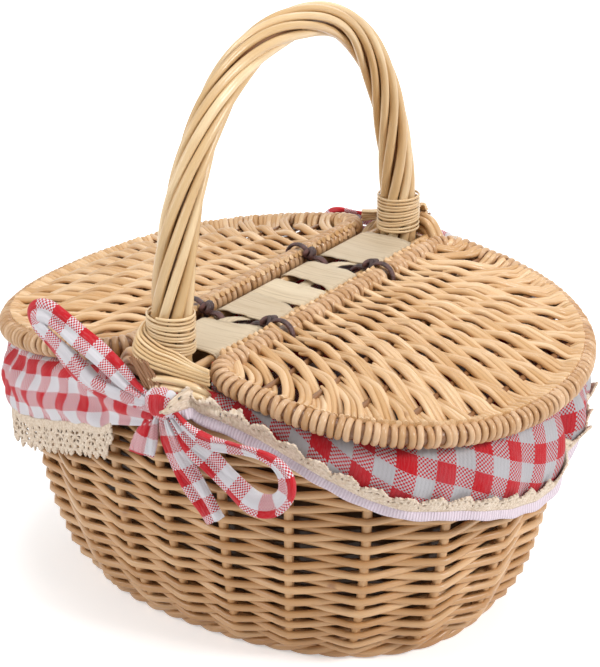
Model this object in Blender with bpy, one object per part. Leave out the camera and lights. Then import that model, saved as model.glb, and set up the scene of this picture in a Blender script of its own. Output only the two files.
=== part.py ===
"""Oval willow pie basket with two hinged lids, an arched handle and a gingham liner.

The long side runs along X and the handle stands in the YZ plane. The origin is
on the floor under the middle of the basket. Lengths are in metres.
"""
from math import atan2, cos, exp, pi, radians, sin, sqrt

import bmesh
import bpy
from mathutils import Matrix, Vector

# Clearances
GAP = 0.0003
CLOTH_GAP = 0.0004

# Outline of the basket, seen from above
RIM_HALF_X = 0.1475
RIM_HALF_Y = 0.118
BASE_HALF_X = 0.123
BASE_HALF_Y = 0.094
PLAN_POWER = 2.35
FOOT_BULGE = 0.0085
FOOT_BULGE_WIDTH = 0.018
RING_STEPS = 64
RING_WARP_SHARE = 0.25

# Woven wall and base
WALL_THICK = 0.0065
WALL_SWELL_SHARE = 0.59
WALL_LEVEL_SHARES = (0.0, 0.06, 0.25, 0.6, 1.0)
WALL_BAND_COUNT = 7
WALL_RELIEF = 0.003
BASE_RING_HEIGHT = 0.008
BASE_RING_WIDTH = 0.011
BASE_WEAVE_THICK = 0.005
BASE_WEAVE_LIFT = 0.002

# Lids
LID_TILT_DEG = 10.25
HINGE_X = 0.0276
HINGE_Z = 0.165
LID_BAR_RADIUS = 0.006
LID_HALF_WIDTH = 0.1216
LID_REACH = 0.1396
LID_CORNER_RADIUS = 0.022
LID_CURVE_START = 0.0313
LID_POWER = 2.14
LID_PANEL_THICK = 0.004
LID_PANEL_RELIEF = 0.0022
LID_PANEL_COLUMNS = 9
LID_DOME = 0.006
LID_PANEL_CLEARANCE = 0.0009
LID_RIB_RADIUS = 0.0019
LID_RIB_SHARES = (0.17, 0.35, 0.53, 0.71, 0.88)
LID_REST_GAP = 0.0022

# Rim border and the rods under it
BORDER_HALF_WIDTH = 0.0045
BORDER_HALF_HEIGHT = 0.0065
FOOT_LIFT = 0.0175
FOOT_LIFT_WIDTH = 0.022
FOOT_LIFT_POWER = 6
WALE_RADIUS = 0.0028
WALE_OFFSET = 0.004
WALE_COUNT = 2
RIM_OPEN_HEIGHT = 0.0022
STAKE_COUNT = 22
STAKE_RADIUS = 0.0019
STAKE_OFFSET = -0.001

# Handle
HANDLE_CLEARANCE = 0.0009
HANDLE_RISE = 0.1534
HANDLE_FOOT_Z = 0.1595
ARCH_POWER = 2.32
ARCH_STEPS = 96
ROD_COUNT = 8
ROD_RADIUS = 0.00285
ROD_TURNS = 2.25
ROD_POINTS = 28
ROD_LEG_DROP = 0.028
CORE_RADIUS = 0.0046
CORE_GAP = 0.0006
CORE_LEG_DROP = 0.038
CORE_POINTS = 32
ROD_SPREAD = 0.0008
ROD_SPREAD_LENGTH = 0.03

# Cane binding at each handle foot
BINDING_RADIUS = 0.00115
BINDING_PITCH = 0.00305
BINDING_LOOPS = 5
BINDING_LOOP_POINTS = 12
BINDING_SELF_GAP = 0.0004

# Bridge between the lids
RAIL_X = 0.0149
RAIL_RADIUS = 0.0027
RAIL_Z = 0.1633
SPLINT_THICK = 0.001
SPLINT_EDGE_SHARES = ((-1.0, -0.60), (-0.495, -0.212), (-0.206, 0.062), (0.134, 0.412), (0.536, 1.0))
STRIP_WIDTH = 0.009
STRIP_THICK = 0.001

# Leather hinge ties
TIE_FRONT_SHARE = -0.5475
TIE_REAR_SHARE = 0.4752
TIE_RADIUS = 0.0016
TIE_KNOT_RADIUS = 0.0037
TIE_KNOT_X = 0.0188
TIE_NOTCH_CLEARANCE = 0.0007

# Cloth liner
CLOTH_THICK = 0.001
BAG_LEG_CLEARANCE = 0.00135
BAG_DENT_WIDTH = 0.021
BAG_DENT_POWER = 4
SKIRT_START_X = 0.025
SKIRT_FLARE = 0.004
SKIRT_LEFT_DROP = (0.012, 0.034)
SKIRT_RIGHT_DROP = (0.0095, 0.034)
SKIRT_LEFT_FOLDS = 9
SKIRT_LEFT_FOLD_DEPTH = 0.0035
SKIRT_RIGHT_FOLDS = 5
SKIRT_RIGHT_FOLD_DEPTH = 0.0015
LACE_THICK = 0.0008
LACE_LEFT_LENGTH = 0.024
LACE_RIGHT_HEIGHT = 0.013
HEM_RADIUS = 0.0017

# Ribbon bows
RIBBON_WIDTH = 0.0165
RIBBON_THICK = 0.001
KNOT_RADII = (0.0085, 0.0045, 0.008)
KNOT_STAND_OFF = 0.0091
KNOT_PLACE = (0.0132, -(RIM_HALF_Y + FOOT_BULGE + KNOT_STAND_OFF), 0.154)
LOOP_LEFT_REACH = (-0.0807, -0.0027, 0.0235)
LOOP_LEFT_REACH_REAR = (-0.0752, -0.0017, -0.0020)
LOOP_LEFT_OPENING = 0.0115
LOOP_LEFT_OPENING_REAR = 0.0055
LOOP_RIGHT_REACH = (0.0743, 0.0031, -0.0340)
LOOP_RIGHT_OPENING = 0.0155
LOOP_CONE_DEG = -66.0
LOOP_END_SPLIT = 0.0058
RIBBON_PINCH_SHARE = 0.36
RIBBON_PINCH_LENGTH = 0.022
LOOP_POINTS = 18
TAIL_LONG_REACH = (0.0273, 0.0036, -0.0595)
TAIL_SHORT_REACH = (-0.0100, -0.0045, -0.0290)
TAIL_LONG_ROOT_DEG = -82.0
TAIL_SHORT_ROOT_DEG = -126.0
TAIL_POINTS = 6

Z = Vector((0, 0, 1))
X = Vector((1, 0, 0))
Y = Vector((0, 1, 0))


def make_material(name, colour, roughness):
    """Principled material with the part's colour and roughness."""
    material = bpy.data.materials.new(name)
    material.use_nodes = True
    shader = material.node_tree.nodes["Principled BSDF"]
    shader.inputs["Base Color"].default_value = (*colour, 1.0)
    shader.inputs["Roughness"].default_value = roughness
    shader.inputs["Metallic"].default_value = 0.0
    return material


WOOD_BODY = (0.50, 0.30, 0.12)
WOOD_LID = (0.72, 0.50, 0.27)
WOOD_HANDLE = (0.68, 0.48, 0.20)
WOOD_SPLINT = (0.62, 0.54, 0.40)
LEATHER = (0.06, 0.03, 0.028)
GINGHAM = (0.70, 0.22, 0.26)
LACE = (0.80, 0.73, 0.62)


def finish(obj, colour, roughness, smooth_deg=40.0):
    """Gives an object its own material and smooth shading."""
    obj.data.materials.append(make_material(obj.name + "_material", colour, roughness))
    if obj.type == "MESH":
        obj.data.shade_smooth()
        obj.data.set_sharp_from_angle(angle=radians(smooth_deg))
    return obj


def link(name, data, parent=None):
    obj = bpy.data.objects.new(name, data)
    bpy.context.scene.collection.objects.link(obj)
    if parent is not None:
        obj.parent = parent
    return obj


def loft(name, rings, colour, roughness=0.6, closed=False, parent=None, smooth_deg=40.0):
    """One closed body through a row of point rings; open rows get end faces."""
    work = bmesh.new()
    rows = [[work.verts.new(point) for point in ring] for ring in rings]
    count = len(rows[0])
    last = len(rows) if closed else len(rows) - 1
    for i in range(last):
        row, following = rows[i], rows[(i + 1) % len(rows)]
        for j in range(count):
            k = (j + 1) % count
            work.faces.new((row[j], row[k], following[k], following[j]))
    if not closed:
        work.faces.new(rows[0])
        work.faces.new(rows[-1])
    bmesh.ops.recalc_face_normals(work, faces=work.faces)
    mesh = bpy.data.meshes.new(name)
    work.to_mesh(mesh)
    work.free()
    return finish(link(name, mesh, parent), colour, roughness, smooth_deg)


def rod(name, points, radius, colour, roughness=0.5, resolution=1):
    """Round rod as a bevelled curve with filled ends."""
    curve = bpy.data.curves.new(name, "CURVE")
    curve.dimensions = "3D"
    curve.bevel_depth = radius
    curve.bevel_resolution = resolution
    curve.use_fill_caps = True
    spline = curve.splines.new("POLY")
    spline.points.add(len(points) - 1)
    for slot, point in zip(spline.points, points):
        slot.co = (*point, 1.0)
    spline.use_smooth = True
    return finish(link(name, curve), colour, roughness)


def circle_ring(centre, side, up, radius, sides, half_height=None):
    """Ring of points round a centre; an oval one where half_height is given."""
    tall = radius if half_height is None else half_height
    ring = []
    for i in range(sides):
        angle = 2 * pi * i / sides
        ring.append(centre + side * (radius * cos(angle)) + up * (tall * sin(angle)))
    return ring


def tube_rings(points, radius, sides, closed=False, half_height=None, reference=Z):
    """Section rings along a path whose sections stand square to it."""
    rings = []
    count = len(points)
    for i in range(count):
        before = points[i - 1] if closed or i > 0 else points[i]
        after = points[(i + 1) % count] if closed or i < count - 1 else points[i]
        tangent = (after - before).normalized()
        side = tangent.cross(reference).normalized()
        up = side.cross(tangent)
        rings.append(circle_ring(points[i], side, up, radius, sides, half_height))
    return rings


def upright_rings(points, radius, sides, half_height=None):
    """Section rings of a closed rim rod, each in the upright plane across it."""
    rings = []
    count = len(points)
    for i in range(count):
        along = points[(i + 1) % count] - points[i - 1]
        side = along.cross(Z).normalized()
        rings.append(circle_ring(points[i], side, Z, radius, sides, half_height))
    return rings


def signed_power(value, power):
    return abs(value) ** power * (1 if value >= 0 else -1)


def smooth_step(value):
    value = min(max(value, 0.0), 1.0)
    return value * value * (3 - 2 * value)


def ring_angle(share):
    """Plan angle at a share of the way round, closer together at the handle feet."""
    angle = 2 * pi * share
    return angle + RING_WARP_SHARE * sin(2 * angle)


def plan_point(angle, half_x, half_y, bulge_share=1.0):
    """Point of the oval plan, swollen outwards where the handle feet stand."""
    across = abs(cos(angle) / half_x) ** PLAN_POWER + abs(sin(angle) / half_y) ** PLAN_POWER
    reach = across ** (-1 / PLAN_POWER)
    x = reach * cos(angle)
    y = reach * sin(angle)
    swell = FOOT_BULGE * bulge_share * exp(-(x / FOOT_BULGE_WIDTH) ** 2)
    return Vector((x, y + signed_power(sin(angle), 1) * swell, 0))


def rim_point(angle, offset):
    return plan_point(angle, RIM_HALF_X + offset, RIM_HALF_Y + offset)


def border_z(x):
    """Height of the border's middle: it follows the lids and climbs at the feet."""
    tilt = radians(LID_TILT_DEG)
    slope = sin(tilt) / cos(tilt)
    under_lid = HINGE_Z - LID_BAR_RADIUS / cos(tilt) - LID_REST_GAP - BORDER_HALF_HEIGHT
    line = under_lid - slope * max(abs(x) - HINGE_X, 0)
    return line + FOOT_LIFT * exp(-(abs(x) / FOOT_LIFT_WIDTH) ** FOOT_LIFT_POWER)


def wall_top(x):
    wales = WALE_COUNT * (2 * WALE_RADIUS + GAP)
    return border_z(x) - BORDER_HALF_HEIGHT - RIM_OPEN_HEIGHT - wales


def wall_half_sizes(level):
    """Half sizes of the wall's outside at a share of its height."""
    swell = sin(pi / 2 * level) ** WALL_SWELL_SHARE if level > 0 else 0.0
    half_x = BASE_HALF_X + (RIM_HALF_X + WALL_THICK / 2 - BASE_HALF_X) * swell
    half_y = BASE_HALF_Y + (RIM_HALF_Y + WALL_THICK / 2 - BASE_HALF_Y) * swell
    return half_x, half_y


def wall_point(angle, level, inset):
    half_x, half_y = wall_half_sizes(level)
    point = plan_point(angle, half_x - inset, half_y - inset, level ** 1.5)
    foot = BASE_RING_HEIGHT + GAP
    point.z = foot + level * (wall_top(point.x) - foot)
    return point


def build_base():
    sections = ((0, 0), (0, BASE_RING_HEIGHT), (BASE_RING_WIDTH, BASE_RING_HEIGHT), (BASE_RING_WIDTH, 0))
    inset = WALL_THICK / 4
    loops = []
    for i in range(RING_STEPS):
        angle = ring_angle(i / RING_STEPS)
        loop = []
        for depth, z in sections:
            point = plan_point(angle, BASE_HALF_X - inset - depth, BASE_HALF_Y - inset - depth, 0)
            point.z = z
            loop.append(point)
        loops.append(loop)
    loft("base_border", loops, WOOD_BODY, 0.55, closed=True)
    inner = inset + BASE_RING_WIDTH + GAP
    rings = []
    for z in (BASE_WEAVE_LIFT, BASE_WEAVE_LIFT + BASE_WEAVE_THICK):
        ring = []
        for i in range(RING_STEPS):
            angle = ring_angle(i / RING_STEPS)
            point = plan_point(angle, BASE_HALF_X - inner, BASE_HALF_Y - inner, 0)
            ring.append(Vector((point.x, point.y, z)))
        rings.append(ring)
    loft("base_weave", rings, WOOD_BODY, 0.6)


def wall_relief(angle, level):
    """How far the outside stands in: coarse waves, as the rods pass behind and before the stakes."""
    if level in (0, 1):
        return 0
    across = sin(STAKE_COUNT / 2 * angle)
    along = sin(pi * WALL_BAND_COUNT * level)
    return WALL_RELIEF * (1 - across * along) / 2


def build_wall():
    levels = [0] + [(k + 1 / 2) / WALL_BAND_COUNT for k in range(WALL_BAND_COUNT)] + [1]
    loops = []
    for i in range(RING_STEPS):
        angle = ring_angle(i / RING_STEPS)
        outside = [wall_point(angle, level, wall_relief(angle, level)) for level in levels]
        inside = [wall_point(angle, level, WALL_THICK) for level in reversed(WALL_LEVEL_SHARES)]
        loops.append(outside + inside)
    loft("wall_weave", loops, WOOD_BODY, 0.6, closed=True)


def build_wales():
    """Thick rods laid round the top of the wall, outside the stakes."""
    for k in range(WALE_COUNT):
        points = []
        for i in range(RING_STEPS):
            point = rim_point(ring_angle(i / RING_STEPS), WALE_OFFSET)
            rise = GAP + WALE_RADIUS + k * (2 * WALE_RADIUS + GAP)
            point.z = wall_top(point.x) + rise
            points.append(point)
        rings = upright_rings(points, WALE_RADIUS, 5)
        loft("wale_" + ("lower", "upper")[k], rings, WOOD_BODY, 0.5, closed=True)


def build_border():
    """Rim border with the stakes that rise out of the wall into it."""
    points = []
    for i in range(RING_STEPS):
        point = rim_point(ring_angle(i / RING_STEPS), 0)
        point.z = border_z(point.x)
        points.append(point)
    rings = upright_rings(points, BORDER_HALF_WIDTH, 6, half_height=BORDER_HALF_HEIGHT)
    border = loft("rim_border", rings, WOOD_LID, 0.5, closed=True)
    stakes = []
    for i in range(STAKE_COUNT):
        centre = rim_point(2 * pi * (i + 0.5) / STAKE_COUNT, STAKE_OFFSET)
        low = Vector((centre.x, centre.y, wall_top(centre.x) + GAP + STAKE_RADIUS / 4))
        top = Vector((centre.x, centre.y, border_z(centre.x)))
        stakes.append([circle_ring(end, X, Y, STAKE_RADIUS, 5) for end in (low, top)])
    cutter = join_solids("border_stakes_guide", stakes)
    union = border.modifiers.new("stakes", "BOOLEAN")
    union.operation = "UNION"
    union.solver = "EXACT"
    union.object = cutter


def join_solids(name, solids):
    """Hidden helper mesh that holds several separate closed bodies."""
    work = bmesh.new()
    for rings in solids:
        rows = [[work.verts.new(point) for point in ring] for ring in rings]
        count = len(rows[0])
        for row, following in zip(rows, rows[1:]):
            for j in range(count):
                k = (j + 1) % count
                work.faces.new((row[j], row[k], following[k], following[j]))
        work.faces.new(rows[0])
        work.faces.new(rows[-1])
    bmesh.ops.recalc_face_normals(work, faces=work.faces)
    mesh = bpy.data.meshes.new(name)
    work.to_mesh(mesh)
    work.free()
    helper = link(name, mesh)
    helper.hide_render = True
    helper.display_type = "WIRE"
    return helper


def rod_ring_radius():
    return CORE_RADIUS + CORE_GAP + ROD_RADIUS


def handle_foot_radius():
    return rod_ring_radius() + ROD_RADIUS + ROD_SPREAD


def handle_half_span():
    """The handle's feet stand just inside the border, where it bulges out for them."""
    border_inside = RIM_HALF_Y + FOOT_BULGE - BORDER_HALF_WIDTH
    return border_inside - HANDLE_CLEARANCE - handle_foot_radius()


def bridge_half_length():
    """The bridge reaches from one handle foot to the other."""
    return handle_half_span() - handle_foot_radius() - HANDLE_CLEARANCE


def handle_path():
    """Centre line of the handle: front leg, arch and rear leg, evenly readable."""
    half_span = handle_half_span()
    path = [Vector((0, -half_span, HANDLE_FOOT_Z - CORE_LEG_DROP))]
    for i in range(ARCH_STEPS + 1):
        angle = pi * i / ARCH_STEPS
        y = -half_span * signed_power(cos(angle), 2 / ARCH_POWER)
        z = HANDLE_FOOT_Z + HANDLE_RISE * abs(sin(angle)) ** (2 / ARCH_POWER)
        path.append(Vector((0, y, z)))
    path.append(Vector((0, half_span, HANDLE_FOOT_Z - CORE_LEG_DROP)))
    return path


def path_lengths(path):
    lengths = [0.0]
    for before, after in zip(path, path[1:]):
        lengths.append(lengths[-1] + (after - before).length)
    return lengths


def path_frame(path, lengths, distance):
    """Point, outward normal and tangent of the handle's line at a distance."""
    i = 0
    while i < len(path) - 2 and lengths[i + 1] < distance:
        i += 1
    share = (distance - lengths[i]) / (lengths[i + 1] - lengths[i])
    point = path[i].lerp(path[i + 1], share)
    before = path[max(i - 1, 0)]
    after = path[min(i + 2, len(path) - 1)]
    tangent = (after - before).normalized()
    outward = Vector((0, -tangent.z, tangent.y))
    return point, outward, tangent


def rod_spread(distance, total):
    """How far the rods fan out near each end of the handle."""
    end = min(distance, total - distance)
    start = CORE_LEG_DROP + ROD_SPREAD_LENGTH
    return ROD_SPREAD * smooth_step((start - end) / ROD_SPREAD_LENGTH)


def build_handle():
    path = handle_path()
    lengths = path_lengths(path)
    total = lengths[-1]
    points = []
    for i in range(CORE_POINTS):
        points.append(path_frame(path, lengths, total * i / (CORE_POINTS - 1))[0])
    rings = tube_rings(points, CORE_RADIUS, 6, reference=X)
    loft("handle_core", rings, WOOD_HANDLE, 0.5)
    start = CORE_LEG_DROP - ROD_LEG_DROP
    for k in range(ROD_COUNT):
        points = []
        for i in range(ROD_POINTS):
            share = i / (ROD_POINTS - 1)
            distance = start + (total - 2 * start) * share
            centre, outward, tangent = path_frame(path, lengths, distance)
            angle = 2 * pi * (k / ROD_COUNT + ROD_TURNS * share)
            radius = rod_ring_radius() + rod_spread(distance, total)
            points.append(centre + outward * (radius * cos(angle)) + X * (radius * sin(angle)))
        rod("handle_rod_%d" % (k + 1), points, ROD_RADIUS, WOOD_HANDLE)
    build_bindings(path, lengths, total)


def build_bindings(path, lengths, total):
    """Cane wound round the foot of each leg, down to the border."""
    low = border_z(0) + BORDER_HALF_HEIGHT + GAP + 2 * BINDING_RADIUS
    first = CORE_LEG_DROP + (low - HANDLE_FOOT_Z)
    wound = rod_ring_radius() + ROD_RADIUS + GAP + BINDING_RADIUS
    for name, from_end in (("binding_front", False), ("binding_rear", True)):
        points = []
        count = BINDING_LOOPS * BINDING_LOOP_POINTS
        for i in range(count + 1):
            share = i / count
            distance = first + BINDING_PITCH * BINDING_LOOPS * share
            along = total - distance if from_end else distance
            centre, outward, tangent = path_frame(path, lengths, along)
            radius = wound + rod_spread(distance, total)
            angle = 2 * pi * BINDING_LOOPS * share
            points.append(centre + outward * (radius * cos(angle)) + X * (radius * sin(angle)))
        points.insert(0, points[0] - Z * (2 * BINDING_RADIUS))
        points.append(points[-1] + Z * (2 * BINDING_RADIUS))
        rod(name, points, BINDING_RADIUS, WOOD_HANDLE)
        report_winding_gap(name, points)


def report_winding_gap(name, points):
    """Prints the least gap of a winding to its own next turn."""
    least = None
    for i in range(len(points)):
        for j in range(i + BINDING_LOOP_POINTS // 2, len(points)):
            apart = (points[i] - points[j]).length - 2 * BINDING_RADIUS
            least = apart if least is None else min(least, apart)
    state = "clear" if least > BINDING_SELF_GAP else "too close"
    print(name, "least gap to itself", round(least * 1000, 3), "mm", state)


def build_bridge():
    outer_x = RAIL_X + RAIL_RADIUS
    half_length = abs(rim_point(atan2(-RIM_HALF_Y, outer_x), -BORDER_HALF_WIDTH - RAIL_RADIUS / 4).y)
    for name, side in (("bridge_rail_left", -1), ("bridge_rail_right", 1)):
        ends = [Vector((side * RAIL_X, y, RAIL_Z)) for y in (-half_length, half_length)]
        loft(name, tube_rings(ends, RAIL_RADIUS, 8), WOOD_SPLINT, 0.5)
    reach = bridge_half_length()
    for k, (start, end) in enumerate(SPLINT_EDGE_SHARES):
        build_splint("bridge_splint_%d" % (k + 1), reach * start, reach * end)
    top = RAIL_Z + RAIL_RADIUS
    corners = ((-1, top), (1, top), (1, top - STRIP_THICK), (-1, top - STRIP_THICK))
    rings = []
    for y in (-reach, reach):
        rings.append([Vector((side * STRIP_WIDTH / 2, y, z)) for side, z in corners])
    loft("bridge_strip", rings, WOOD_SPLINT, 0.6)


def build_splint(name, y_start, y_end):
    """Flat splint laid across both rails with its ends turned down round them."""
    inner = RAIL_RADIUS + GAP
    outer = inner + SPLINT_THICK
    profile = []
    for side in (-1, 1):
        angles = [radians(deg) for deg in (265, 220, 180, 140, 90)]
        if side == 1:
            angles = [pi - angle for angle in reversed(angles)]
        for angle in angles:
            centre = Vector((side * RAIL_X, 0, RAIL_Z))
            direction = Vector((cos(angle), 0, sin(angle)))
            profile.append((centre + direction * inner, centre + direction * outer))
    rings = []
    for low, high in profile:
        rings.append([low + Y * y_start, low + Y * y_end, high + Y * y_end, high + Y * y_start])
    loft(name, rings, WOOD_SPLINT, 0.6)


def build_tie(name, y):
    """Leather cord over both rails and under the strip, with a ring round each lid bar."""
    low = RAIL_Z + RAIL_RADIUS - STRIP_THICK - GAP - TIE_RADIUS
    high = RAIL_Z + RAIL_RADIUS + GAP + TIE_RADIUS
    ring_radius = LID_BAR_RADIUS + GAP + TIE_RADIUS
    knot_z = RAIL_Z + RAIL_RADIUS + GAP + TIE_KNOT_RADIUS
    half = TIE_KNOT_X
    shape = ((-1.0, high), (-0.72, high), (-0.35, low), (0.35, low), (0.72, high), (1.0, high))
    path = [Vector((half * share, y, z)) for share, z in shape]
    cord = loft(name, tube_rings(path, TIE_RADIUS, 6, reference=Y), LEATHER, 0.5)
    helpers = []
    for side in (-1, 1):
        centre = Vector((side * HINGE_X, y, HINGE_Z))
        points = []
        for i in range(14):
            angle = 2 * pi * i / 14
            points.append(centre + Vector((cos(angle), 0, sin(angle))) * ring_radius)
        rings = tube_rings(points, TIE_RADIUS, 6, closed=True, reference=Y)
        helpers.append(ring_helper("%s_ring_%d" % (name, side + 2), rings))
        bpy.ops.mesh.primitive_ico_sphere_add(subdivisions=1, radius=TIE_KNOT_RADIUS,
                                              location=(side * TIE_KNOT_X, y, knot_z))
        ball = bpy.context.object
        ball.name = "%s_knot_%d" % (name, side + 2)
        hide_helper(ball)
        helpers.append(ball)
    for helper in helpers:
        union = cord.modifiers.new(helper.name, "BOOLEAN")
        union.operation = "UNION"
        union.solver = "EXACT"
        union.object = helper


def hide_helper(obj):
    obj.hide_render = True
    obj.display_type = "WIRE"


def ring_helper(name, rings):
    helper = loft(name, rings, LEATHER, 0.5, closed=True)
    hide_helper(helper)
    return helper


def lid_outline_half(u, inset):
    """Half width of the lid's outline at a distance from its hinge line."""
    far = LID_REACH - inset
    half = LID_HALF_WIDTH - inset
    corner = LID_CORNER_RADIUS - inset
    start = LID_CORNER_RADIUS - LID_BAR_RADIUS
    if u < start:
        rest = max(corner ** 2 - (start - u) ** 2, 0)
        return half - corner + sqrt(rest)
    if u < LID_CURVE_START:
        return half
    share = min((u - LID_CURVE_START) / (far - LID_CURVE_START), 1.0)
    return half * (1 - share ** LID_POWER) ** (1 / LID_POWER)


def lid_dome(u, v):
    """Rise of the lid's woven panel above the plane of its hoop."""
    along = u / LID_REACH
    across = v / LID_HALF_WIDTH
    return LID_DOME * max(1 - across ** 2, 0) * sin(pi * min(max(along, 0), 1))


def build_lid(side_name, side):
    tilt = radians(LID_TILT_DEG)
    hinge = bpy.data.objects.new("lid_%s_hinge" % side_name, None)
    bpy.context.scene.collection.objects.link(hinge)
    hinge.empty_display_size = LID_BAR_RADIUS
    hinge.location = (side * HINGE_X, 0, HINGE_Z)
    turn = Matrix.Rotation(0 if side > 0 else pi, 3, "Z") @ Matrix.Rotation(tilt, 3, "Y")
    hinge.rotation_euler = turn.to_euler()
    build_lid_frame(side_name, hinge)
    panel = build_lid_panel(side_name, hinge)
    build_lid_ribs(side_name, hinge)
    cut_tie_notches(side_name, side, hinge, panel)


def build_lid_frame(side_name, hinge):
    """Straight hinge bar and the hoop bent round from its one end to the other."""
    half_bar = LID_HALF_WIDTH - LID_CORNER_RADIUS
    ends = [Vector((0, y, 0)) for y in (-half_bar, half_bar)]
    loft("lid_%s_bar" % side_name, tube_rings(ends, LID_BAR_RADIUS, 8), WOOD_LID, 0.5, parent=hinge)
    inset = LID_BAR_RADIUS
    far = LID_REACH - inset
    corner = LID_CORNER_RADIUS - inset
    points = [Vector((0, half_bar + GAP, 0)), Vector((0, half_bar + GAP + LID_BAR_RADIUS / 4, 0))]
    for i in range(1, 5):
        angle = pi / 8 + 3 * pi / 8 * i / 4
        points.append(Vector((corner * (1 - cos(angle)), half_bar + corner * sin(angle), 0)))
    for i in range(9):
        angle = pi / 2 * i / 8
        u = LID_CURVE_START + (far - LID_CURVE_START) * signed_power(sin(angle), 2 / LID_POWER)
        v = (LID_HALF_WIDTH - inset) * signed_power(cos(angle), 2 / LID_POWER)
        points.append(Vector((u, max(v, 0), 0)))
    mirrored = [Vector((point.x, -point.y, 0)) for point in reversed(points[:-1])]
    rings = tube_rings(points + mirrored, LID_BAR_RADIUS, 6)
    loft("lid_%s_hoop" % side_name, rings, WOOD_LID, 0.5, parent=hinge)


def lid_rib_place(share):
    """Distance of a rib from the hinge line."""
    return LID_BAR_RADIUS + (LID_REACH - 3 * LID_BAR_RADIUS) * share


def lid_relief(station, column, last_station):
    """Extra height of the woven panel where its rods pass over a rib."""
    if station in (0, last_station) or column in (0, LID_PANEL_COLUMNS - 1):
        return 0
    return LID_PANEL_RELIEF if (station + column) % 2 else 0


def build_lid_panel(side_name, hinge):
    """Slightly domed woven panel inside the bar and the hoop."""
    inset = 2 * LID_BAR_RADIUS + LID_PANEL_CLEARANCE
    start = LID_BAR_RADIUS + GAP
    far = LID_REACH - inset
    stations = [start, start + (far - start) * 0.08] + [lid_rib_place(share) for share in LID_RIB_SHARES]
    stations.append(start + (far - start) * 0.96)
    rings = []
    for i, u in enumerate(stations):
        half = lid_outline_half(u, inset)
        top, under = [], []
        for k in range(LID_PANEL_COLUMNS):
            v = half * (2 * k / (LID_PANEL_COLUMNS - 1) - 1)
            relief = lid_relief(i, k, len(stations) - 1)
            top.append(Vector((u, v, lid_dome(u, v) + LID_PANEL_THICK / 2 + relief)))
            under.insert(0, Vector((u, v, lid_dome(u, v) - LID_PANEL_THICK / 2)))
        rings.append(top + under)
    return loft("lid_%s_weave" % side_name, rings, WOOD_LID, 0.6, parent=hinge)


def build_lid_ribs(side_name, hinge):
    """Rods across the lid that carry the weave, under the panel."""
    inset = 2 * LID_BAR_RADIUS + LID_PANEL_CLEARANCE
    for k, share in enumerate(LID_RIB_SHARES):
        u = lid_rib_place(share)
        half = min(lid_outline_half(u - LID_RIB_RADIUS, inset), lid_outline_half(u + LID_RIB_RADIUS, inset))
        points = []
        for i in range(7):
            v = half * (i / 3 - 1)
            drop = LID_PANEL_THICK / 2 + GAP + LID_RIB_RADIUS
            points.append(Vector((u, v, lid_dome(u, v) - drop)))
        rings = tube_rings(points, LID_RIB_RADIUS, 5)
        loft("lid_%s_rib_%d" % (side_name, k + 1), rings, WOOD_LID, 0.5, parent=hinge)


def cut_tie_notches(side_name, side, hinge, panel):
    """Room in the panel for the leather rings that the lid turns in."""
    depth = LID_BAR_RADIUS + GAP + 2 * TIE_RADIUS + TIE_NOTCH_CLEARANCE
    width = 2 * (TIE_RADIUS + TIE_NOTCH_CLEARANCE)
    for name, share in (("front", TIE_FRONT_SHARE), ("rear", TIE_REAR_SHARE)):
        y = share * bridge_half_length()
        bpy.ops.mesh.primitive_cube_add(size=1)
        cutter = bpy.context.object
        cutter.name = "lid_%s_notch_%s" % (side_name, name)
        cutter.parent = hinge
        cutter.location = (0, side * y, 0)
        cutter.scale = (2 * depth, width, 2 * depth)
        hide_helper(cutter)
        cut = panel.modifiers.new(cutter.name, "BOOLEAN")
        cut.operation = "DIFFERENCE"
        cut.solver = "EXACT"
        cut.object = cutter


def bag_dent():
    """How far the bag comes in to pass inside the handle's legs."""
    lining = RIM_HALF_Y + FOOT_BULGE - WALL_THICK / 2 - CLOTH_GAP
    return lining - (handle_half_span() - handle_foot_radius()) + BAG_LEG_CLEARANCE


def bag_point(angle, level, inset):
    """Inside lining of the wall, drawn in where the handle legs go down."""
    point = wall_point(angle, level, WALL_THICK + CLOTH_GAP + inset)
    leg = HANDLE_FOOT_Z - CORE_LEG_DROP - CLOTH_GAP
    near_leg = smooth_step((point.z - leg / 2) / (leg / 2 - 2 * WALL_THICK))
    dent = bag_dent() * near_leg * exp(-(abs(point.x) / BAG_DENT_WIDTH) ** BAG_DENT_POWER)
    point.y -= signed_power(point.y, 0) * dent
    return point


def build_bag():
    """Cloth bag that lines the basket."""
    floor = BASE_RING_HEIGHT + CLOTH_GAP
    rings = []
    lining = [(level, 0) for level in WALL_LEVEL_SHARES]
    lining += [(level, CLOTH_THICK) for level in reversed(WALL_LEVEL_SHARES)]
    for level, inset in lining:
        ring = []
        for i in range(RING_STEPS):
            point = bag_point(ring_angle(i / RING_STEPS), level, inset)
            if level == 0:
                point.z = floor + inset
            ring.append(point)
        rings.append(ring)
    loft("liner_bag", rings, GINGHAM, 0.9)


def skirt_drop(x, drops):
    """Distance from the border's middle down to the skirt's hem."""
    near, far = drops
    return near + (far - near) * smooth_step((abs(x) - SKIRT_START_X) / (RIM_HALF_X - 2 * SKIRT_START_X))


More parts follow.
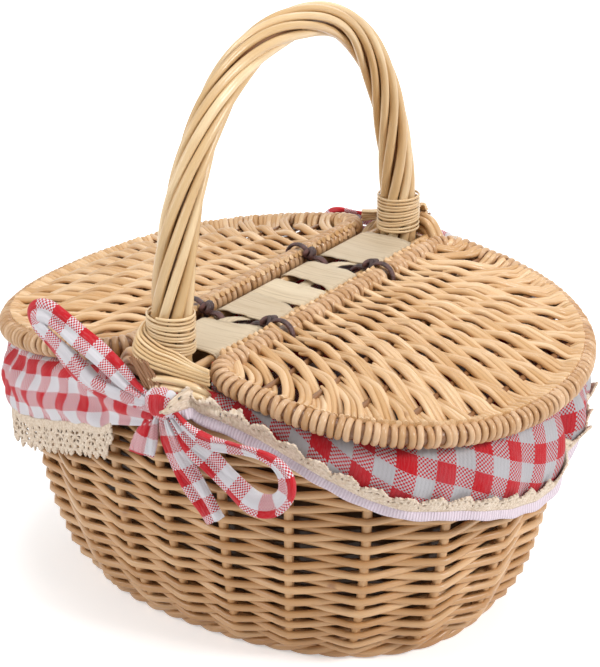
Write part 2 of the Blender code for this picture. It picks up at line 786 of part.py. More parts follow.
def skirt_section(angle, drops):
    """Middle line of the skirt at one plan angle: over the border and down outside."""
    wide = BORDER_HALF_WIDTH + CLOTH_GAP + CLOTH_THICK / 2
    tall = BORDER_HALF_HEIGHT + CLOTH_GAP + CLOTH_THICK / 2
    hang = WALE_OFFSET + WALE_RADIUS + CLOTH_GAP + CLOTH_THICK / 2
    middle = rim_point(angle, 0)
    drop = skirt_drop(middle.x, drops)
    outline = [(wide * cos(radians(deg)), tall * sin(radians(deg))) for deg in (180, 120, 60)]
    outline.append((hang, -BORDER_HALF_HEIGHT / 3))
    for share in (0.6, 1.0):
        outline.append((hang + share * SKIRT_FLARE * drop / max(drops), -drop * share))
    line = []
    for offset, rise in outline:
        point = rim_point(angle, offset)
        point.z = border_z(middle.x) + rise
        line.append(point)
    return line


def skirt_lines(side, drops, folds, depth):
    """Section lines of a skirt from the front handle foot round to the rear one."""
    coarse = []
    for i in range(RING_STEPS + 1):
        angle = ring_angle(i / RING_STEPS - 1 / 2) if side > 0 else ring_angle(i / RING_STEPS)
        if side * rim_point(angle, 0).x >= SKIRT_START_X:
            coarse.append(skirt_section(angle, drops))
    lines = []
    for line, following in zip(coarse, coarse[1:]):
        lines.append(line)
        lines.append([a.lerp(b, 1 / 2) for a, b in zip(line, following)])
    lines.append(coarse[-1])
    steps = len(lines) - 1
    for i, line in enumerate(lines):
        fold = depth * (1 - cos(2 * pi * folds * i / steps)) / 2
        for share, slot in ((1 / 2, -2), (1, -1)):
            radial = Vector((line[slot].x, line[slot].y, 0)).normalized()
            line[slot] = line[slot] + radial * (fold * share)
    return lines


def sheet_ring(line, thick):
    """Closed section of a sheet round its middle line."""
    outer, inner = [], []
    count = len(line)
    for i in range(count):
        before = line[max(i - 1, 0)]
        after = line[min(i + 1, count - 1)]
        tangent = (after - before).normalized()
        radial = Vector((line[i].x, line[i].y, 0)).normalized()
        across = radial.cross(Z)
        normal = across.cross(tangent).normalized()
        outer.append(line[i] + normal * (thick / 2))
        inner.append(line[i] - normal * (thick / 2))
    return outer + inner[::-1]


def build_skirts():
    left = (SKIRT_LEFT_DROP, SKIRT_LEFT_FOLDS, SKIRT_LEFT_FOLD_DEPTH)
    right = (SKIRT_RIGHT_DROP, SKIRT_RIGHT_FOLDS, SKIRT_RIGHT_FOLD_DEPTH)
    for name, side, (drops, folds, depth) in (("left", -1, left), ("right", 1, right)):
        lines = skirt_lines(side, drops, folds, depth)
        loft("liner_skirt_" + name, [sheet_ring(line, CLOTH_THICK) for line in lines], GINGHAM, 0.9)
        if side < 0:
            build_hanging_lace(lines)
        else:
            build_turned_lace(lines)


def build_hanging_lace(lines):
    """Lace sewn below the left skirt's hem."""
    rings = []
    for line in lines:
        top = line[-1] - Z * (GAP + CLOTH_THICK / 4)
        rings.append(sheet_ring([top, top - Z * LACE_LEFT_LENGTH], LACE_THICK))
    loft("lace_left", rings, LACE, 0.9)


def build_turned_lace(lines):
    """Lace turned up over the right skirt's hem, and the sewn edge below it."""
    out = CLOTH_THICK / 2 + GAP + LACE_THICK / 2
    lace = []
    hem = []
    for line in lines:
        down = (line[-1] - line[-2]).normalized()
        radial = Vector((line[-1].x, line[-1].y, 0)).normalized()
        low = line[-1] + radial * out
        height = min(LACE_RIGHT_HEIGHT, (line[-1] - line[-3]).length)
        lace.append(sheet_ring([low - down * height, low], LACE_THICK))
        hem.append(line[-1] + down * (HEM_RADIUS + GAP))
    loft("lace_right", lace, LACE, 0.9)
    loft("hem_right", tube_rings(hem, HEM_RADIUS, 5), LACE, 0.9)


def pinched_width(distance):
    """Ribbon width at a distance from the knot that gathers it."""
    grow = smooth_step(distance / RIBBON_PINCH_LENGTH)
    return RIBBON_WIDTH * (RIBBON_PINCH_SHARE + (1 - RIBBON_PINCH_SHARE) * grow)


def ribbon(name, points, sides, widths):
    """Flat ribbon along points, its width along the given side vectors."""
    rings = []
    count = len(points)
    for i in range(count):
        tangent = (points[min(i + 1, count - 1)] - points[max(i - 1, 0)]).normalized()
        side = (sides[i] - tangent * sides[i].dot(tangent)).normalized()
        normal = side.cross(tangent)
        a = side * (widths[i] / 2)
        b = normal * (RIBBON_THICK / 2)
        rings.append([points[i] - a - b, points[i] + a - b, points[i] + a + b, points[i] - a + b])
    return loft(name, rings, GINGHAM, 0.9)


def bow_loop(name, knot, reach, opening, place):
    """Ribbon loop from the knot out by its reach and back."""
    length = reach.length
    forward = reach.normalized()
    depth = forward.cross(Z).normalized()
    up = depth.cross(forward)
    cone = radians(LOOP_CONE_DEG)
    margin = knot_reach(forward)
    points, sides, widths = [], [], []
    for i in range(LOOP_POINTS):
        share = i / (LOOP_POINTS - 1)
        swing = pi * share
        along = margin + (length - margin) * sin(swing)
        rise = opening * sin(2 * swing) + (1 / 2 - share) * LOOP_END_SPLIT
        points.append(knot + forward * along + up * rise)
        widths.append(pinched_width(along - margin))
    for i in range(LOOP_POINTS):
        tangent = (points[min(i + 1, LOOP_POINTS - 1)] - points[max(i - 1, 0)]).normalized()
        outward = tangent.cross(depth)
        sides.append(depth * cos(cone) + outward * sin(cone))
    return ribbon(name, [place(p) for p in points], [place(p) for p in sides], widths)


def knot_reach(direction):
    """Distance from the knot's middle to its surface along a direction."""
    return sum((part / radius) ** 2 for part, radius in zip(direction, KNOT_RADII)) ** -0.5


def bow_tail(name, knot, root_deg, reach, place):
    """Free end of the ribbon hanging from the knot."""
    root = Vector((cos(radians(root_deg)), 0, sin(radians(root_deg))))
    start = knot + root * (knot_reach(root) + 2 * CLOTH_GAP)
    end = knot + reach
    length = (end - start).length
    bend = start + root * (length / 3)
    across = (end - start).cross(Y).normalized()
    points, sides, widths = [], [], []
    for i in range(TAIL_POINTS):
        share = i / (TAIL_POINTS - 1)
        points.append(start.lerp(bend, share).lerp(bend.lerp(end, share), share))
        sides.append(across)
        widths.append(pinched_width(length * share))
    return ribbon(name, [place(p) for p in points], [place(p) for p in sides], widths)


def build_bow(prefix, mirrored):
    """Bow at one handle foot; the rear one mirrors the front one, but its left loop droops."""
    def place(vector):
        return Vector((vector.x, -vector.y, vector.z)) if mirrored else vector
    knot = Vector(KNOT_PLACE)
    bpy.ops.mesh.primitive_ico_sphere_add(subdivisions=2, radius=1.0)
    ball = bpy.context.object
    ball.name = prefix + "_knot"
    ball.data.name = ball.name
    ball.data.transform(Matrix.Diagonal((*KNOT_RADII, 1.0)))
    ball.location = place(knot)
    finish(ball, GINGHAM, 0.9)
    reach, opening = LOOP_LEFT_REACH, LOOP_LEFT_OPENING
    if mirrored:
        reach, opening = LOOP_LEFT_REACH_REAR, LOOP_LEFT_OPENING_REAR
    bow_loop(prefix + "_loop_left", knot, Vector(reach), opening, place)
    bow_loop(prefix + "_loop_right", knot, Vector(LOOP_RIGHT_REACH), LOOP_RIGHT_OPENING, place)
    bow_tail(prefix + "_tail_long", knot, TAIL_LONG_ROOT_DEG, Vector(TAIL_LONG_REACH), place)
    bow_tail(prefix + "_tail_short", knot, TAIL_SHORT_ROOT_DEG, Vector(TAIL_SHORT_REACH), place)


def main():
    for obj in list(bpy.data.objects):
        bpy.data.objects.remove(obj, do_unlink=True)
    build_base()
    build_wall()
    build_wales()
    build_border()
    build_handle()
    build_bridge()
    build_tie("hinge_tie_front", TIE_FRONT_SHARE * bridge_half_length())
    build_tie("hinge_tie_rear", TIE_REAR_SHARE * bridge_half_length())
    build_lid("left", -1)
    build_lid("right", 1)
    build_bag()
    build_skirts()
    build_bow("bow_front", False)
    build_bow("bow_rear", True)


main()
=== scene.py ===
"""Willow pie basket: the woven, wrapped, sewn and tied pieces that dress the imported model."""

from math import cos, pi, radians, sin, tan

import bpy
import numpy as np
from mathutils import Matrix, Vector


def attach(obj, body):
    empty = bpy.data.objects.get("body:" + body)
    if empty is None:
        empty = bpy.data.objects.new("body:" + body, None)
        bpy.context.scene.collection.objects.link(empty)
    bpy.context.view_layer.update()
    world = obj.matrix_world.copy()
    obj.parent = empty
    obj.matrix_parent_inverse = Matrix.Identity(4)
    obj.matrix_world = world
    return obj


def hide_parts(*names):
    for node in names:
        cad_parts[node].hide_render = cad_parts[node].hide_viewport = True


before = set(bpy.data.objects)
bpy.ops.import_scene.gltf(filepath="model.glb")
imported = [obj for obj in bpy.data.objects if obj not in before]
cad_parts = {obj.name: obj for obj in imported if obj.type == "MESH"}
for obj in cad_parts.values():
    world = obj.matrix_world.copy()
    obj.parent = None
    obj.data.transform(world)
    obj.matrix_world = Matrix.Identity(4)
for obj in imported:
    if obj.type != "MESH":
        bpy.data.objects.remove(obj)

bl_info = {
    "name": "Willow Pie Basket",
    "version": (1, 0, 0),
    "blender": (4, 5, 0),
    "location": "View3D > Sidebar > Basket",
    "description": "Builds the willow weave, cloth, lace and bows of a pie basket",
    "category": "Object",
}

# Sizes that the solids were made to, in metres
GAP = 0.0003
RIM_HALF_X = 0.1475
RIM_HALF_Y = 0.118
BASE_HALF_X = 0.123
BASE_HALF_Y = 0.094
PLAN_POWER = 2.35
FOOT_BULGE = 0.0085
FOOT_BULGE_WIDTH = 0.018
WALL_THICK = 0.0065
WALL_SWELL_SHARE = 0.59
WALL_FOOT_Z = 0.0083
STAKE_COUNT = 22
LID_TILT_DEG = 10.25
HINGE_X = 0.0276
HINGE_Z = 0.165
LID_BAR_RADIUS = 0.006
LID_HALF_WIDTH = 0.1216
LID_REACH = 0.1396
LID_CORNER_RADIUS = 0.022
LID_CURVE_START = 0.0313
LID_POWER = 2.14
LID_DOME = 0.006
LID_REST_GAP = 0.0022
LID_RIB_SHARES = (0.17, 0.35, 0.53, 0.71, 0.88)
BORDER_HALF_HEIGHT = 0.0065
FOOT_LIFT = 0.0175
FOOT_LIFT_WIDTH = 0.022
FOOT_LIFT_POWER = 6
WALE_RADIUS = 0.0028
WALE_OFFSET = 0.004
RIM_OPEN_HEIGHT = 0.0022
HANDLE_HALF_SPAN = 0.1094
HANDLE_RISE = 0.1534
HANDLE_FOOT_Z = 0.1595
ARCH_POWER = 2.32
ROD_COUNT = 8
ROD_TURNS = 2.25
ROD_RING_RADIUS = 0.00805
ROD_RADIUS = 0.00285
RAIL_X = 0.0149
RAIL_RADIUS = 0.0027
RAIL_Z = 0.1633
BRIDGE_HALF_LENGTH = 0.0968
SPLINT_EDGE_SHARES = ((-1.0, -0.60), (-0.495, -0.212), (-0.206, 0.062), (0.134, 0.412), (0.536, 1.0))
KNOT_PLACE = (0.0132, -0.1356, 0.154)

X = np.array((1.0, 0.0, 0.0))
Y = np.array((0.0, 1.0, 0.0))
Z = np.array((0.0, 0.0, 1.0))


def size_value(label, note, default):
    return bpy.props.FloatProperty(name=label, description=note, default=default, unit="LENGTH")


def colour_value(label, note, default):
    return bpy.props.FloatVectorProperty(name=label, description=note, default=default, subtype="COLOR")


class WillowSizes(bpy.types.PropertyGroup):
    """Thicknesses and pitches of the willow rods"""

    row_pitch: size_value("Row pitch", "Distance from one woven row to the next", 0.0042)
    rod_radius: size_value("Weaver radius", "Radius of the wall's weaving rods", 0.0021)
    stake_radius: size_value("Stake radius", "Radius of the upright stakes", 0.0025)
    wall_wave: size_value("Wall wave", "How far a rod passes in front of and behind a stake", 0.0033)
    lid_rod_radius: size_value("Lid rod radius", "Radius of the lids' weaving rods", 0.00185)
    lid_wave: size_value("Lid wave", "How far a lid rod passes over and under a rib", 0.0024)
    lid_pair_count: bpy.props.IntProperty(
        name="Lid groups", description="Groups of rods woven through each lid", default=43, min=8)
    rim_wrap_pitch: size_value("Rim wrap pitch", "Distance between the wraps round a lid's hoop", 0.0042)


class ClothSizes(bpy.types.PropertyGroup):
    """Sizes of the cloth, lace and ribbons"""

    check: size_value("Check", "Width of one gingham check", 0.0104)
    thread: size_value("Thread", "Width of one thread of the gingham", 0.0008)
    cloth_thick: size_value("Cloth thickness", "Thickness of the gingham", 0.0008)
    puff: size_value("Puff", "How far the skirts stand out from the wall", 0.009)
    ribbon_width: size_value("Ribbon width", "Width of the tied ribbon", 0.0155)
    lace_cell: size_value("Lace cell", "Size of the lace's smallest loop", 0.0008)


class FinishColours(bpy.types.PropertyGroup):
    """Colours of the finishes"""

    body_wood: colour_value("Body willow", "Varnished willow of the wall", (0.59, 0.355, 0.165))
    lid_wood: colour_value("Lid willow", "Peeled willow of the lids", (0.70, 0.475, 0.255))
    handle_wood: colour_value("Handle willow", "Varnished willow of the handle", (0.72, 0.53, 0.29))
    splint_wood: colour_value("Splint", "Bare wood splints of the bridge", (0.67, 0.55, 0.40))
    leather: colour_value("Leather", "Leather of the hinge ties", (0.055, 0.028, 0.026))
    red: colour_value("Red thread", "Coloured thread of the gingham", (0.52, 0.006, 0.013))
    white: colour_value("White thread", "Plain thread of the gingham", (0.68, 0.66, 0.69))
    lace: colour_value("Lace", "Cotton of the crochet lace", (0.80, 0.68, 0.56))
    hem: colour_value("Hem", "Sewn edge of the turned-up hem", (0.68, 0.59, 0.65))


class Sock:
    """One socket of a material; arithmetic on it adds Math nodes."""

    def __init__(self, paint, socket):
        self.paint = paint
        self.socket = socket

    def maths(self, operation, *values):
        inputs = dict(enumerate(values))
        return self.paint.node("ShaderNodeMath", {"operation": operation}, inputs)

    def __add__(self, other):
        return self.maths("ADD", self, other)

    __radd__ = __add__

    def __sub__(self, other):
        return self.maths("SUBTRACT", self, other)

    def __rsub__(self, other):
        return self.maths("SUBTRACT", other, self)

    def __mul__(self, other):
        return self.maths("MULTIPLY", self, other)

    __rmul__ = __mul__

    def __truediv__(self, other):
        return self.maths("DIVIDE", self, other)

    def __mod__(self, other):
        return self.maths("FLOORED_MODULO", self, other)

    def __gt__(self, other):
        return self.maths("GREATER_THAN", self, other)

    def __lt__(self, other):
        return self.maths("LESS_THAN", self, other)

    def to_and_fro(self):
        return self.maths("PINGPONG", self, 1.0)


class Paint:
    """Builds one procedural material round its Principled shader."""

    def __init__(self, name):
        self.material = bpy.data.materials.new(name)
        self.material.use_nodes = True
        self.tree = self.material.node_tree
        self.shader = self.tree.nodes["Principled BSDF"]

    def node(self, kind, settings=None, inputs=None, out=0):
        """Adds a node: its settings first, then the values or links of its sockets."""
        made = self.tree.nodes.new(kind)
        for key, value in (settings or {}).items():
            if key == "stops":
                self.set_stops(made.color_ramp, value)
            else:
                setattr(made, key, value)
        for key, value in (inputs or {}).items():
            self.plug(made.inputs[key], value)
        return Sock(self, made.outputs[out])

    def plug(self, socket, value):
        if isinstance(value, Sock):
            self.tree.links.new(value.socket, socket)
        else:
            socket.default_value = value

    def set_stops(self, ramp, stops):
        while len(ramp.elements) < len(stops):
            ramp.elements.new(1.0)
        for element, (place, colour) in zip(ramp.elements, stops):
            element.position = place
            element.color = colour

    def blend(self, share, low, high):
        """Mix of two colours by a share."""
        return self.node("ShaderNodeMix", {"data_type": "RGBA"}, {0: share, 6: low, 7: high}, out=2)

    def attribute(self, name, out="Fac"):
        return self.node("ShaderNodeAttribute", {"attribute_name": name}, out=out)

    def parts(self, vector):
        """The three numbers of a vector."""
        split = self.tree.nodes.new("ShaderNodeSeparateXYZ")
        self.plug(split.inputs[0], vector)
        return [Sock(self, out) for out in split.outputs]

    def stretched(self, vector, scale):
        return self.node("ShaderNodeVectorMath", {"operation": "MULTIPLY"}, {0: vector, 1: scale})

    def noise(self, vector, scale, detail=2.0, roughness=0.5):
        values = {"Vector": vector, "Scale": scale, "Detail": detail, "Roughness": roughness}
        return self.node("ShaderNodeTexNoise", {}, values, out="Fac")

    def ramp(self, value, stops):
        """Number along a ramp of (place, number) stops."""
        pairs = [(place, (number, number, number, 1.0)) for place, number in stops]
        return self.node("ShaderNodeValToRGB", {"stops": pairs}, {"Fac": value})

    def stain(self, body, amount, stops, colour):
        """Lays a colour over the body where an amount is high, along (place, share) stops."""
        return self.blend(self.ramp(amount, stops), body, colour)

    def bump(self, height, distance, strength=1.0):
        values = {"Height": height, "Distance": distance, "Strength": strength}
        return self.node("ShaderNodeBump", {}, values)

    def finish(self, colour, roughness, normal=None, specular=0.5, coat=0.0, sheen=0.0):
        """Feeds the shader and returns the material."""
        values = {"Base Color": colour, "Roughness": roughness, "Specular IOR Level": specular}
        values.update({"Coat Weight": coat, "Sheen Weight": sheen, "Metallic": 0.0})
        if normal is not None:
            values["Normal"] = normal
        for key, value in values.items():
            self.plug(self.shader.inputs[key], value)
        return self.material


def tone(colour, share):
    """A colour lightened or darkened by a share, with its alpha."""
    return (*[min(channel * share, 1.0) for channel in colour], 1.0)


def warm(colour, red, green, blue):
    return (colour[0] * red, colour[1] * green, colour[2] * blue, 1.0)


# Materials: each colour of a pattern is its base colour times a share of red, green and blue

# Dark brown of the handle's core: painted shade where it shows between the twisted rods. The rod ends under
# the lashing take it too, partly their own brown and partly painted shade
CORE_SHADE_BROWN = (0.32, 0.15, 0.06)
# Dark brown of the bag's outer face: painted shade, which shows through the gaps of the wall
GAP_SHADE_BROWN = (0.13, 0.075, 0.04)
STITCH_WIDTH = 0.0008
STITCH_LENGTH = 0.0022


def willow(name, colour, gloss=0.42, knots=1.0):
    """Peeled, varnished willow: each rod its own tone, fibres along it, small knots."""
    paint = Paint(name)
    grain = paint.attribute("grain", out="Vector")
    fibres = paint.noise(paint.stretched(grain, (0.05, 1.0, 1.0)), scale=900.0, detail=3.0)
    blotches = paint.noise(paint.stretched(grain, (0.35, 1.0, 1.0)), scale=90.0)
    spots = paint.noise(grain, scale=60.0, detail=1.0)
    dark, pale = warm(colour, 0.78, 0.66, 0.50), warm(colour, 1.18, 1.24, 1.38)
    body = paint.blend(paint.attribute("shade"), dark, pale)
    body = paint.stain(body, blotches, ((0.40, 0.0), (0.72, 0.55)), warm(colour, 0.80, 0.66, 0.50))
    body = paint.stain(body, fibres, ((0.35, 0.0), (0.75, 0.28)), warm(colour, 0.66, 0.50, 0.36))
    body = paint.stain(body, spots, ((0.735, 0.0), (0.80, 0.75 * knots)), warm(colour, 0.42, 0.26, 0.17))
    bump = paint.bump(fibres, distance=0.0005, strength=0.5)
    return paint.finish(body, fibres * 0.22 + (gloss - 0.08), bump, coat=0.25)


def bare_splint(name, colour):
    """Thin flat wood with its grain across the bridge, small cracks and stains."""
    paint = Paint(name)
    grain = paint.attribute("grain", out="Vector")
    fibres = paint.noise(paint.stretched(grain, (0.03, 1.0, 1.0)), scale=700.0, detail=4.0, roughness=0.6)
    bands = paint.noise(paint.stretched(grain, (0.10, 1.0, 1.0)), scale=110.0)
    stains = paint.noise(grain, scale=45.0, detail=3.0)
    body = paint.blend(paint.attribute("shade"), tone(colour, 0.88), warm(colour, 1.16, 1.18, 1.16))
    body = paint.stain(body, bands, ((0.35, 0.0), (0.70, 0.45)), warm(colour, 0.86, 0.80, 0.70))
    body = paint.stain(body, fibres, ((0.50, 0.0), (0.72, 0.55)), warm(colour, 0.60, 0.52, 0.42))
    body = paint.stain(body, stains, ((0.66, 0.0), (0.78, 0.5)), warm(colour, 0.62, 0.50, 0.34))
    bump = paint.bump(fibres, distance=0.0006, strength=0.7)
    return paint.finish(body, fibres * 0.2 + 0.55, bump, specular=0.3)


def cord_leather(name, colour):
    """Dark leather cord, worn paler in places."""
    paint = Paint(name)
    grain = paint.attribute("grain", out="Vector")
    pores = paint.noise(grain, scale=900.0, detail=3.0)
    wear = paint.noise(grain, scale=160.0)
    body = paint.stain(tone(colour, 0.8), wear, ((0.42, 0.0), (0.70, 0.8)), warm(colour, 3.0, 2.4, 2.3))
    return paint.finish(body, pores * 0.3 + 0.36, paint.bump(pores, distance=0.0006, strength=0.8))


def gingham(name, red, white, check, thread):
    """Plain woven checks: warp and weft threads of two colours."""
    paint = Paint(name)
    cloth = paint.attribute("cloth", out="Vector")
    across, down, _ = paint.parts(cloth)
    steps = check, thread
    warp, weft, pick, shed = [((axis / step) % 2.0) > 1.0 for step in steps for axis in (across, down)]
    over = pick.maths("COMPARE", pick, shed, 0.5)
    slub = paint.noise(paint.stretched(cloth, (1.0, 0.15, 1.0)), scale=1400.0)
    worn = paint.noise(cloth, scale=60.0)
    mixed = paint.blend(over * warp + (1.0 - over) * weft, tone(white, 1.0), tone(red, 1.0))
    mixed = paint.stain(mixed, slub, ((0.45, 0.0), (0.80, 0.10)), tone(white, 0.92))
    mixed = paint.stain(mixed, worn, ((0.40, 0.0), (0.75, 0.12)), warm(white, 0.60, 0.45, 0.50))
    bump = paint.bump((across / thread).to_and_fro() + over * 0.5, distance=0.00025, strength=0.5)
    return paint.finish(mixed, 0.86, bump, specular=0.2, sheen=0.15)


def crochet(name, colour):
    """Cotton lace: fine loops in rows."""
    paint = Paint(name)
    cloth = paint.attribute("cloth", out="Vector")
    cells = {"Vector": cloth, "Scale": 900.0}
    loops = paint.node("ShaderNodeTexVoronoi", {"feature": "SMOOTH_F1"}, cells, out="Distance")
    rows = paint.noise(paint.stretched(cloth, (1.0, 0.25, 1.0)), scale=700.0, detail=3.0)
    soft = paint.noise(cloth, scale=90.0)
    body = paint.stain(tone(colour, 1.06), loops, ((0.15, 0.0), (0.75, 0.75)), warm(colour, 0.66, 0.56, 0.44))
    body = paint.stain(body, soft, ((0.40, 0.0), (0.75, 0.35)), warm(colour, 0.86, 0.78, 0.68))
    bump = paint.bump(rows - loops, distance=0.0007, strength=0.9)
    return paint.finish(body, 0.92, bump, specular=0.15, sheen=0.2)


def overlocked(name, colour):
    """Sewn edge: close slanting stitches over folded white cloth."""
    paint = Paint(name)
    cloth = paint.attribute("grain", out="Vector")
    across, down, _ = paint.parts(cloth)
    stitches = (across / STITCH_WIDTH + down / STITCH_LENGTH).to_and_fro()
    fuzz = paint.noise(cloth, scale=800.0)
    shade = warm(colour, 0.82, 0.73, 0.78)
    body = paint.stain(tone(colour, 1.12), stitches, ((0.25, 0.0), (0.85, 0.55)), shade)
    body = paint.stain(body, fuzz, ((0.5, 0.0), (0.8, 0.5)), warm(colour, 1.15, 1.12, 1.12))
    bump = paint.bump(stitches + fuzz, distance=0.0005, strength=0.7)
    return paint.finish(body, 0.9, bump, specular=0.15, sheen=0.2)


# Paths, rods and sheets

# How far the grain moves on from one strand to the next, so that no two look alike
GRAIN_SHIFTS = (7.3, 3.1, 1.7)
SHARP_EDGE_DEG = 70.0


def smooth(value):
    """Eased step from 0 to 1."""
    value = np.clip(value, 0.0, 1.0)
    return value * value * (3 - 2 * value)


def unit(vectors):
    return vectors / np.maximum(np.linalg.norm(vectors, axis=-1, keepdims=True), 1e-12)


def circle(count):
    """Evenly spaced angles of one full turn."""
    return 2 * pi * np.arange(count) / count


def path_run(points):
    """Distance along each line of points, down the first axis."""
    steps = np.linalg.norm(np.diff(points, axis=0), axis=-1)
    return np.concatenate([np.zeros((1, *steps.shape[1:])), np.cumsum(steps, axis=0)])


def follow(places, run, line):
    """Points at some distances along a line whose own distances are run."""
    return np.stack([np.interp(places, run, line[:, k]) for k in range(line.shape[1])], -1)


def cubic(t, start, end, leave, arrive):
    """Cubic line from start to end, with the slopes that it leaves and arrives with."""
    return ((2 * t ** 3 - 3 * t ** 2 + 1) * start + (t ** 3 - 2 * t ** 2 + t) * leave
            + (3 * t ** 2 - 2 * t ** 3) * end + (t ** 3 - t ** 2) * arrive)


def curve_through(points, count):
    """Smooth line through a few points."""
    points = np.asarray(points, float)
    slope = np.gradient(points, axis=0)
    at = np.linspace(0, len(points) - 1, count)
    low = np.minimum(at.astype(int), len(points) - 2)
    return cubic((at - low)[:, None], points[low], points[low + 1], slope[low], slope[low + 1])


class Strands:
    """Gathers swept rods, canes and threads into one mesh."""

    def __init__(self):
        self.points, self.faces, self.shades, self.grains = [], [], [], []
        self.total = 0

    def add(self, path, radius, flat=None, up=Z, sides=8, closed=False, shade=0.5):
        """Sweeps a round or flattened section along a path. flat is its half height along up."""
        path = np.asarray(path, float)
        count = len(path)
        radius = np.broadcast_to(np.asarray(radius, float), count)
        flat = radius if flat is None else np.broadcast_to(np.asarray(flat, float), count)
        if closed:
            ahead, behind = np.roll(path, -1, 0), np.roll(path, 1, 0)
        else:
            ahead, behind = np.vstack([path[1:], path[-1:]]), np.vstack([path[:1], path[:-1]])
        tangent = unit(ahead - behind)
        across = unit(np.cross(tangent, np.broadcast_to(up, path.shape)))
        high = np.cross(across, tangent)
        turn = circle(sides)
        wide, tall = radius[:, None] * np.cos(turn), flat[:, None] * np.sin(turn)
        ring = path[:, None] + across[:, None] * wide[..., None] + high[:, None] * tall[..., None]
        self.skin(count, sides, closed)
        self.points.append(ring.reshape(-1, 3))
        grain = np.zeros((count, sides, 3))
        grain[..., 0] = path_run(path)[:, None] + GRAIN_SHIFTS[0] * shade
        grain[..., 1] = wide + GRAIN_SHIFTS[1] * shade
        grain[..., 2] = radius[:, None] * np.sin(turn) + GRAIN_SHIFTS[2] * len(self.points)
        self.grains.append(grain.reshape(-1, 3))
        self.shades.append(np.full(count * sides, shade))
        self.total += count * sides

    def skin(self, count, sides, closed):
        """Faces of the next strand, with an end cap at each open end."""
        i, j = np.meshgrid(np.arange(count if closed else count - 1), np.arange(sides), indexing="ij")
        following, beside = (i + 1) % count, (j + 1) % sides
        near, far = i * sides, following * sides
        quads = np.stack([near + j, near + beside, far + beside, far + j], -1)
        self.faces.extend((quads.reshape(-1, 4) + self.total).tolist())
        if not closed:
            first = self.total + np.arange(sides)
            self.faces.append(first[::-1].tolist())
            self.faces.append((first + (count - 1) * sides).tolist())

    def place(self, name, material, slot, nodes, body="basket"):
        """Makes the mesh and puts it on its body, in place of its nodes."""
        mesh = bpy.data.meshes.new(name)
        mesh.from_pydata(np.vstack(self.points).tolist(), [], self.faces)
        set_field(mesh, "shade", np.concatenate(self.shades))
        set_field(mesh, "grain", np.vstack(self.grains))
        mesh.shade_smooth()
        mesh.set_sharp_from_angle(angle=radians(SHARP_EDGE_DEG))
        return place_piece(show(name, mesh, material), nodes, body)


def set_field(mesh, field, values):
    """Stores a number or a vector on each point of a mesh."""
    kind, key = ("FLOAT", "value") if values.ndim == 1 else ("FLOAT_VECTOR", "vector")
    layer = mesh.attributes.new(field, kind, "POINT")
    layer.data.foreach_set(key, values.astype(np.float32).ravel())


def surface(name, grid, fields, material, thick, keep=None, wrap=False):
    """Sheet from a grid of points, with its attributes; keep marks the cells that stay."""
    rows, columns = grid.shape[:2]
    i, j = np.meshgrid(np.arange(rows if wrap else rows - 1), np.arange(columns - 1), indexing="ij")
    here, following = i * columns + j, (i + 1) % rows * columns + j
    quads = np.stack([here, following, following + 1, here + 1], -1)
    quads = quads[keep] if keep is not None else quads.reshape(-1, 4)
    used, quads = np.unique(quads, return_inverse=True)
    mesh = bpy.data.meshes.new(name)
    mesh.from_pydata(grid.reshape(-1, 3)[used].tolist(), [], quads.reshape(-1, 4).tolist())
    for field, values in fields.items():
        set_field(mesh, field, values.reshape(rows * columns, -1)[used].squeeze())
    mesh.shade_smooth()
    piece = show(name, mesh, material)
    solid = piece.modifiers.new("thickness", "SOLIDIFY")
    solid.thickness = thick
    solid.offset = 0.0
    return piece


def show(name, mesh, material):
    piece = bpy.data.objects.new(name, mesh)
    mesh.materials.append(material)
    bpy.context.scene.collection.objects.link(piece)
    return piece


def place_piece(piece, nodes, body="basket"):
    """Puts a piece on its body and hides the solids that it stands for."""
    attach(piece, body)
    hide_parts(*nodes)
    return piece


# Shape of the basket

FOOT_BULGE_GROWTH = 1.5
PLACE_ROUNDS = 5
SIDE_SAMPLES = 400
# Plan angle of the line up the bowl on which the rows are spaced
SIDE_ANGLE = -pi / 3
FIRST_ROW_SHARE = 0.6
NORMAL_STEP = 0.002
# How straight a rod runs between its stakes: 0 is a sine wave, 1 a zigzag
WEAVE_SHARPNESS = 0.94


def plan(angle, half_x, half_y, bulge=1.0):
    """Oval plan, swollen outwards where the handle feet stand."""
    across = np.abs(np.cos(angle) / half_x) ** PLAN_POWER + np.abs(np.sin(angle) / half_y) ** PLAN_POWER
    reach = across ** (-1 / PLAN_POWER)
    x, y = reach * np.cos(angle), reach * np.sin(angle)
    swell = FOOT_BULGE * bulge * np.exp(-(x / FOOT_BULGE_WIDTH) ** 2)
    return x, y + np.sign(np.sin(angle)) * swell


def border_z(x):
    """Height of the border's middle: under the lids' slant, lifted at the handle feet."""
    tilt = radians(LID_TILT_DEG)
    under_lid = HINGE_Z - LID_BAR_RADIUS / cos(tilt) - LID_REST_GAP - BORDER_HALF_HEIGHT
    line = under_lid - tan(tilt) * np.maximum(np.abs(x) - HINGE_X, 0)
    return line + FOOT_LIFT * np.exp(-(np.abs(x) / FOOT_LIFT_WIDTH) ** FOOT_LIFT_POWER)


def wall_top(x):
    return border_z(x) - BORDER_HALF_HEIGHT - RIM_OPEN_HEIGHT - 2 * (2 * WALE_RADIUS + GAP)


def wall_place(angle, z, inset):
    """Point of the bowl at a plan angle and height, a distance in from its outside."""
    x = plan(angle, RIM_HALF_X, RIM_HALF_Y)[0]
    for _ in range(PLACE_ROUNDS):
        level = np.clip((z - WALL_FOOT_Z) / (wall_top(x) - WALL_FOOT_Z), 0.0, 1.0)
        swell = np.sin(pi / 2 * level) ** WALL_SWELL_SHARE
        half_x = BASE_HALF_X + (RIM_HALF_X + WALL_THICK / 2 - BASE_HALF_X) * swell
        half_y = BASE_HALF_Y + (RIM_HALF_Y + WALL_THICK / 2 - BASE_HALF_Y) * swell
        x, y = plan(angle, half_x - inset, half_y - inset, level ** FOOT_BULGE_GROWTH)
    return np.stack([x, y, np.broadcast_to(z, x.shape)], -1)


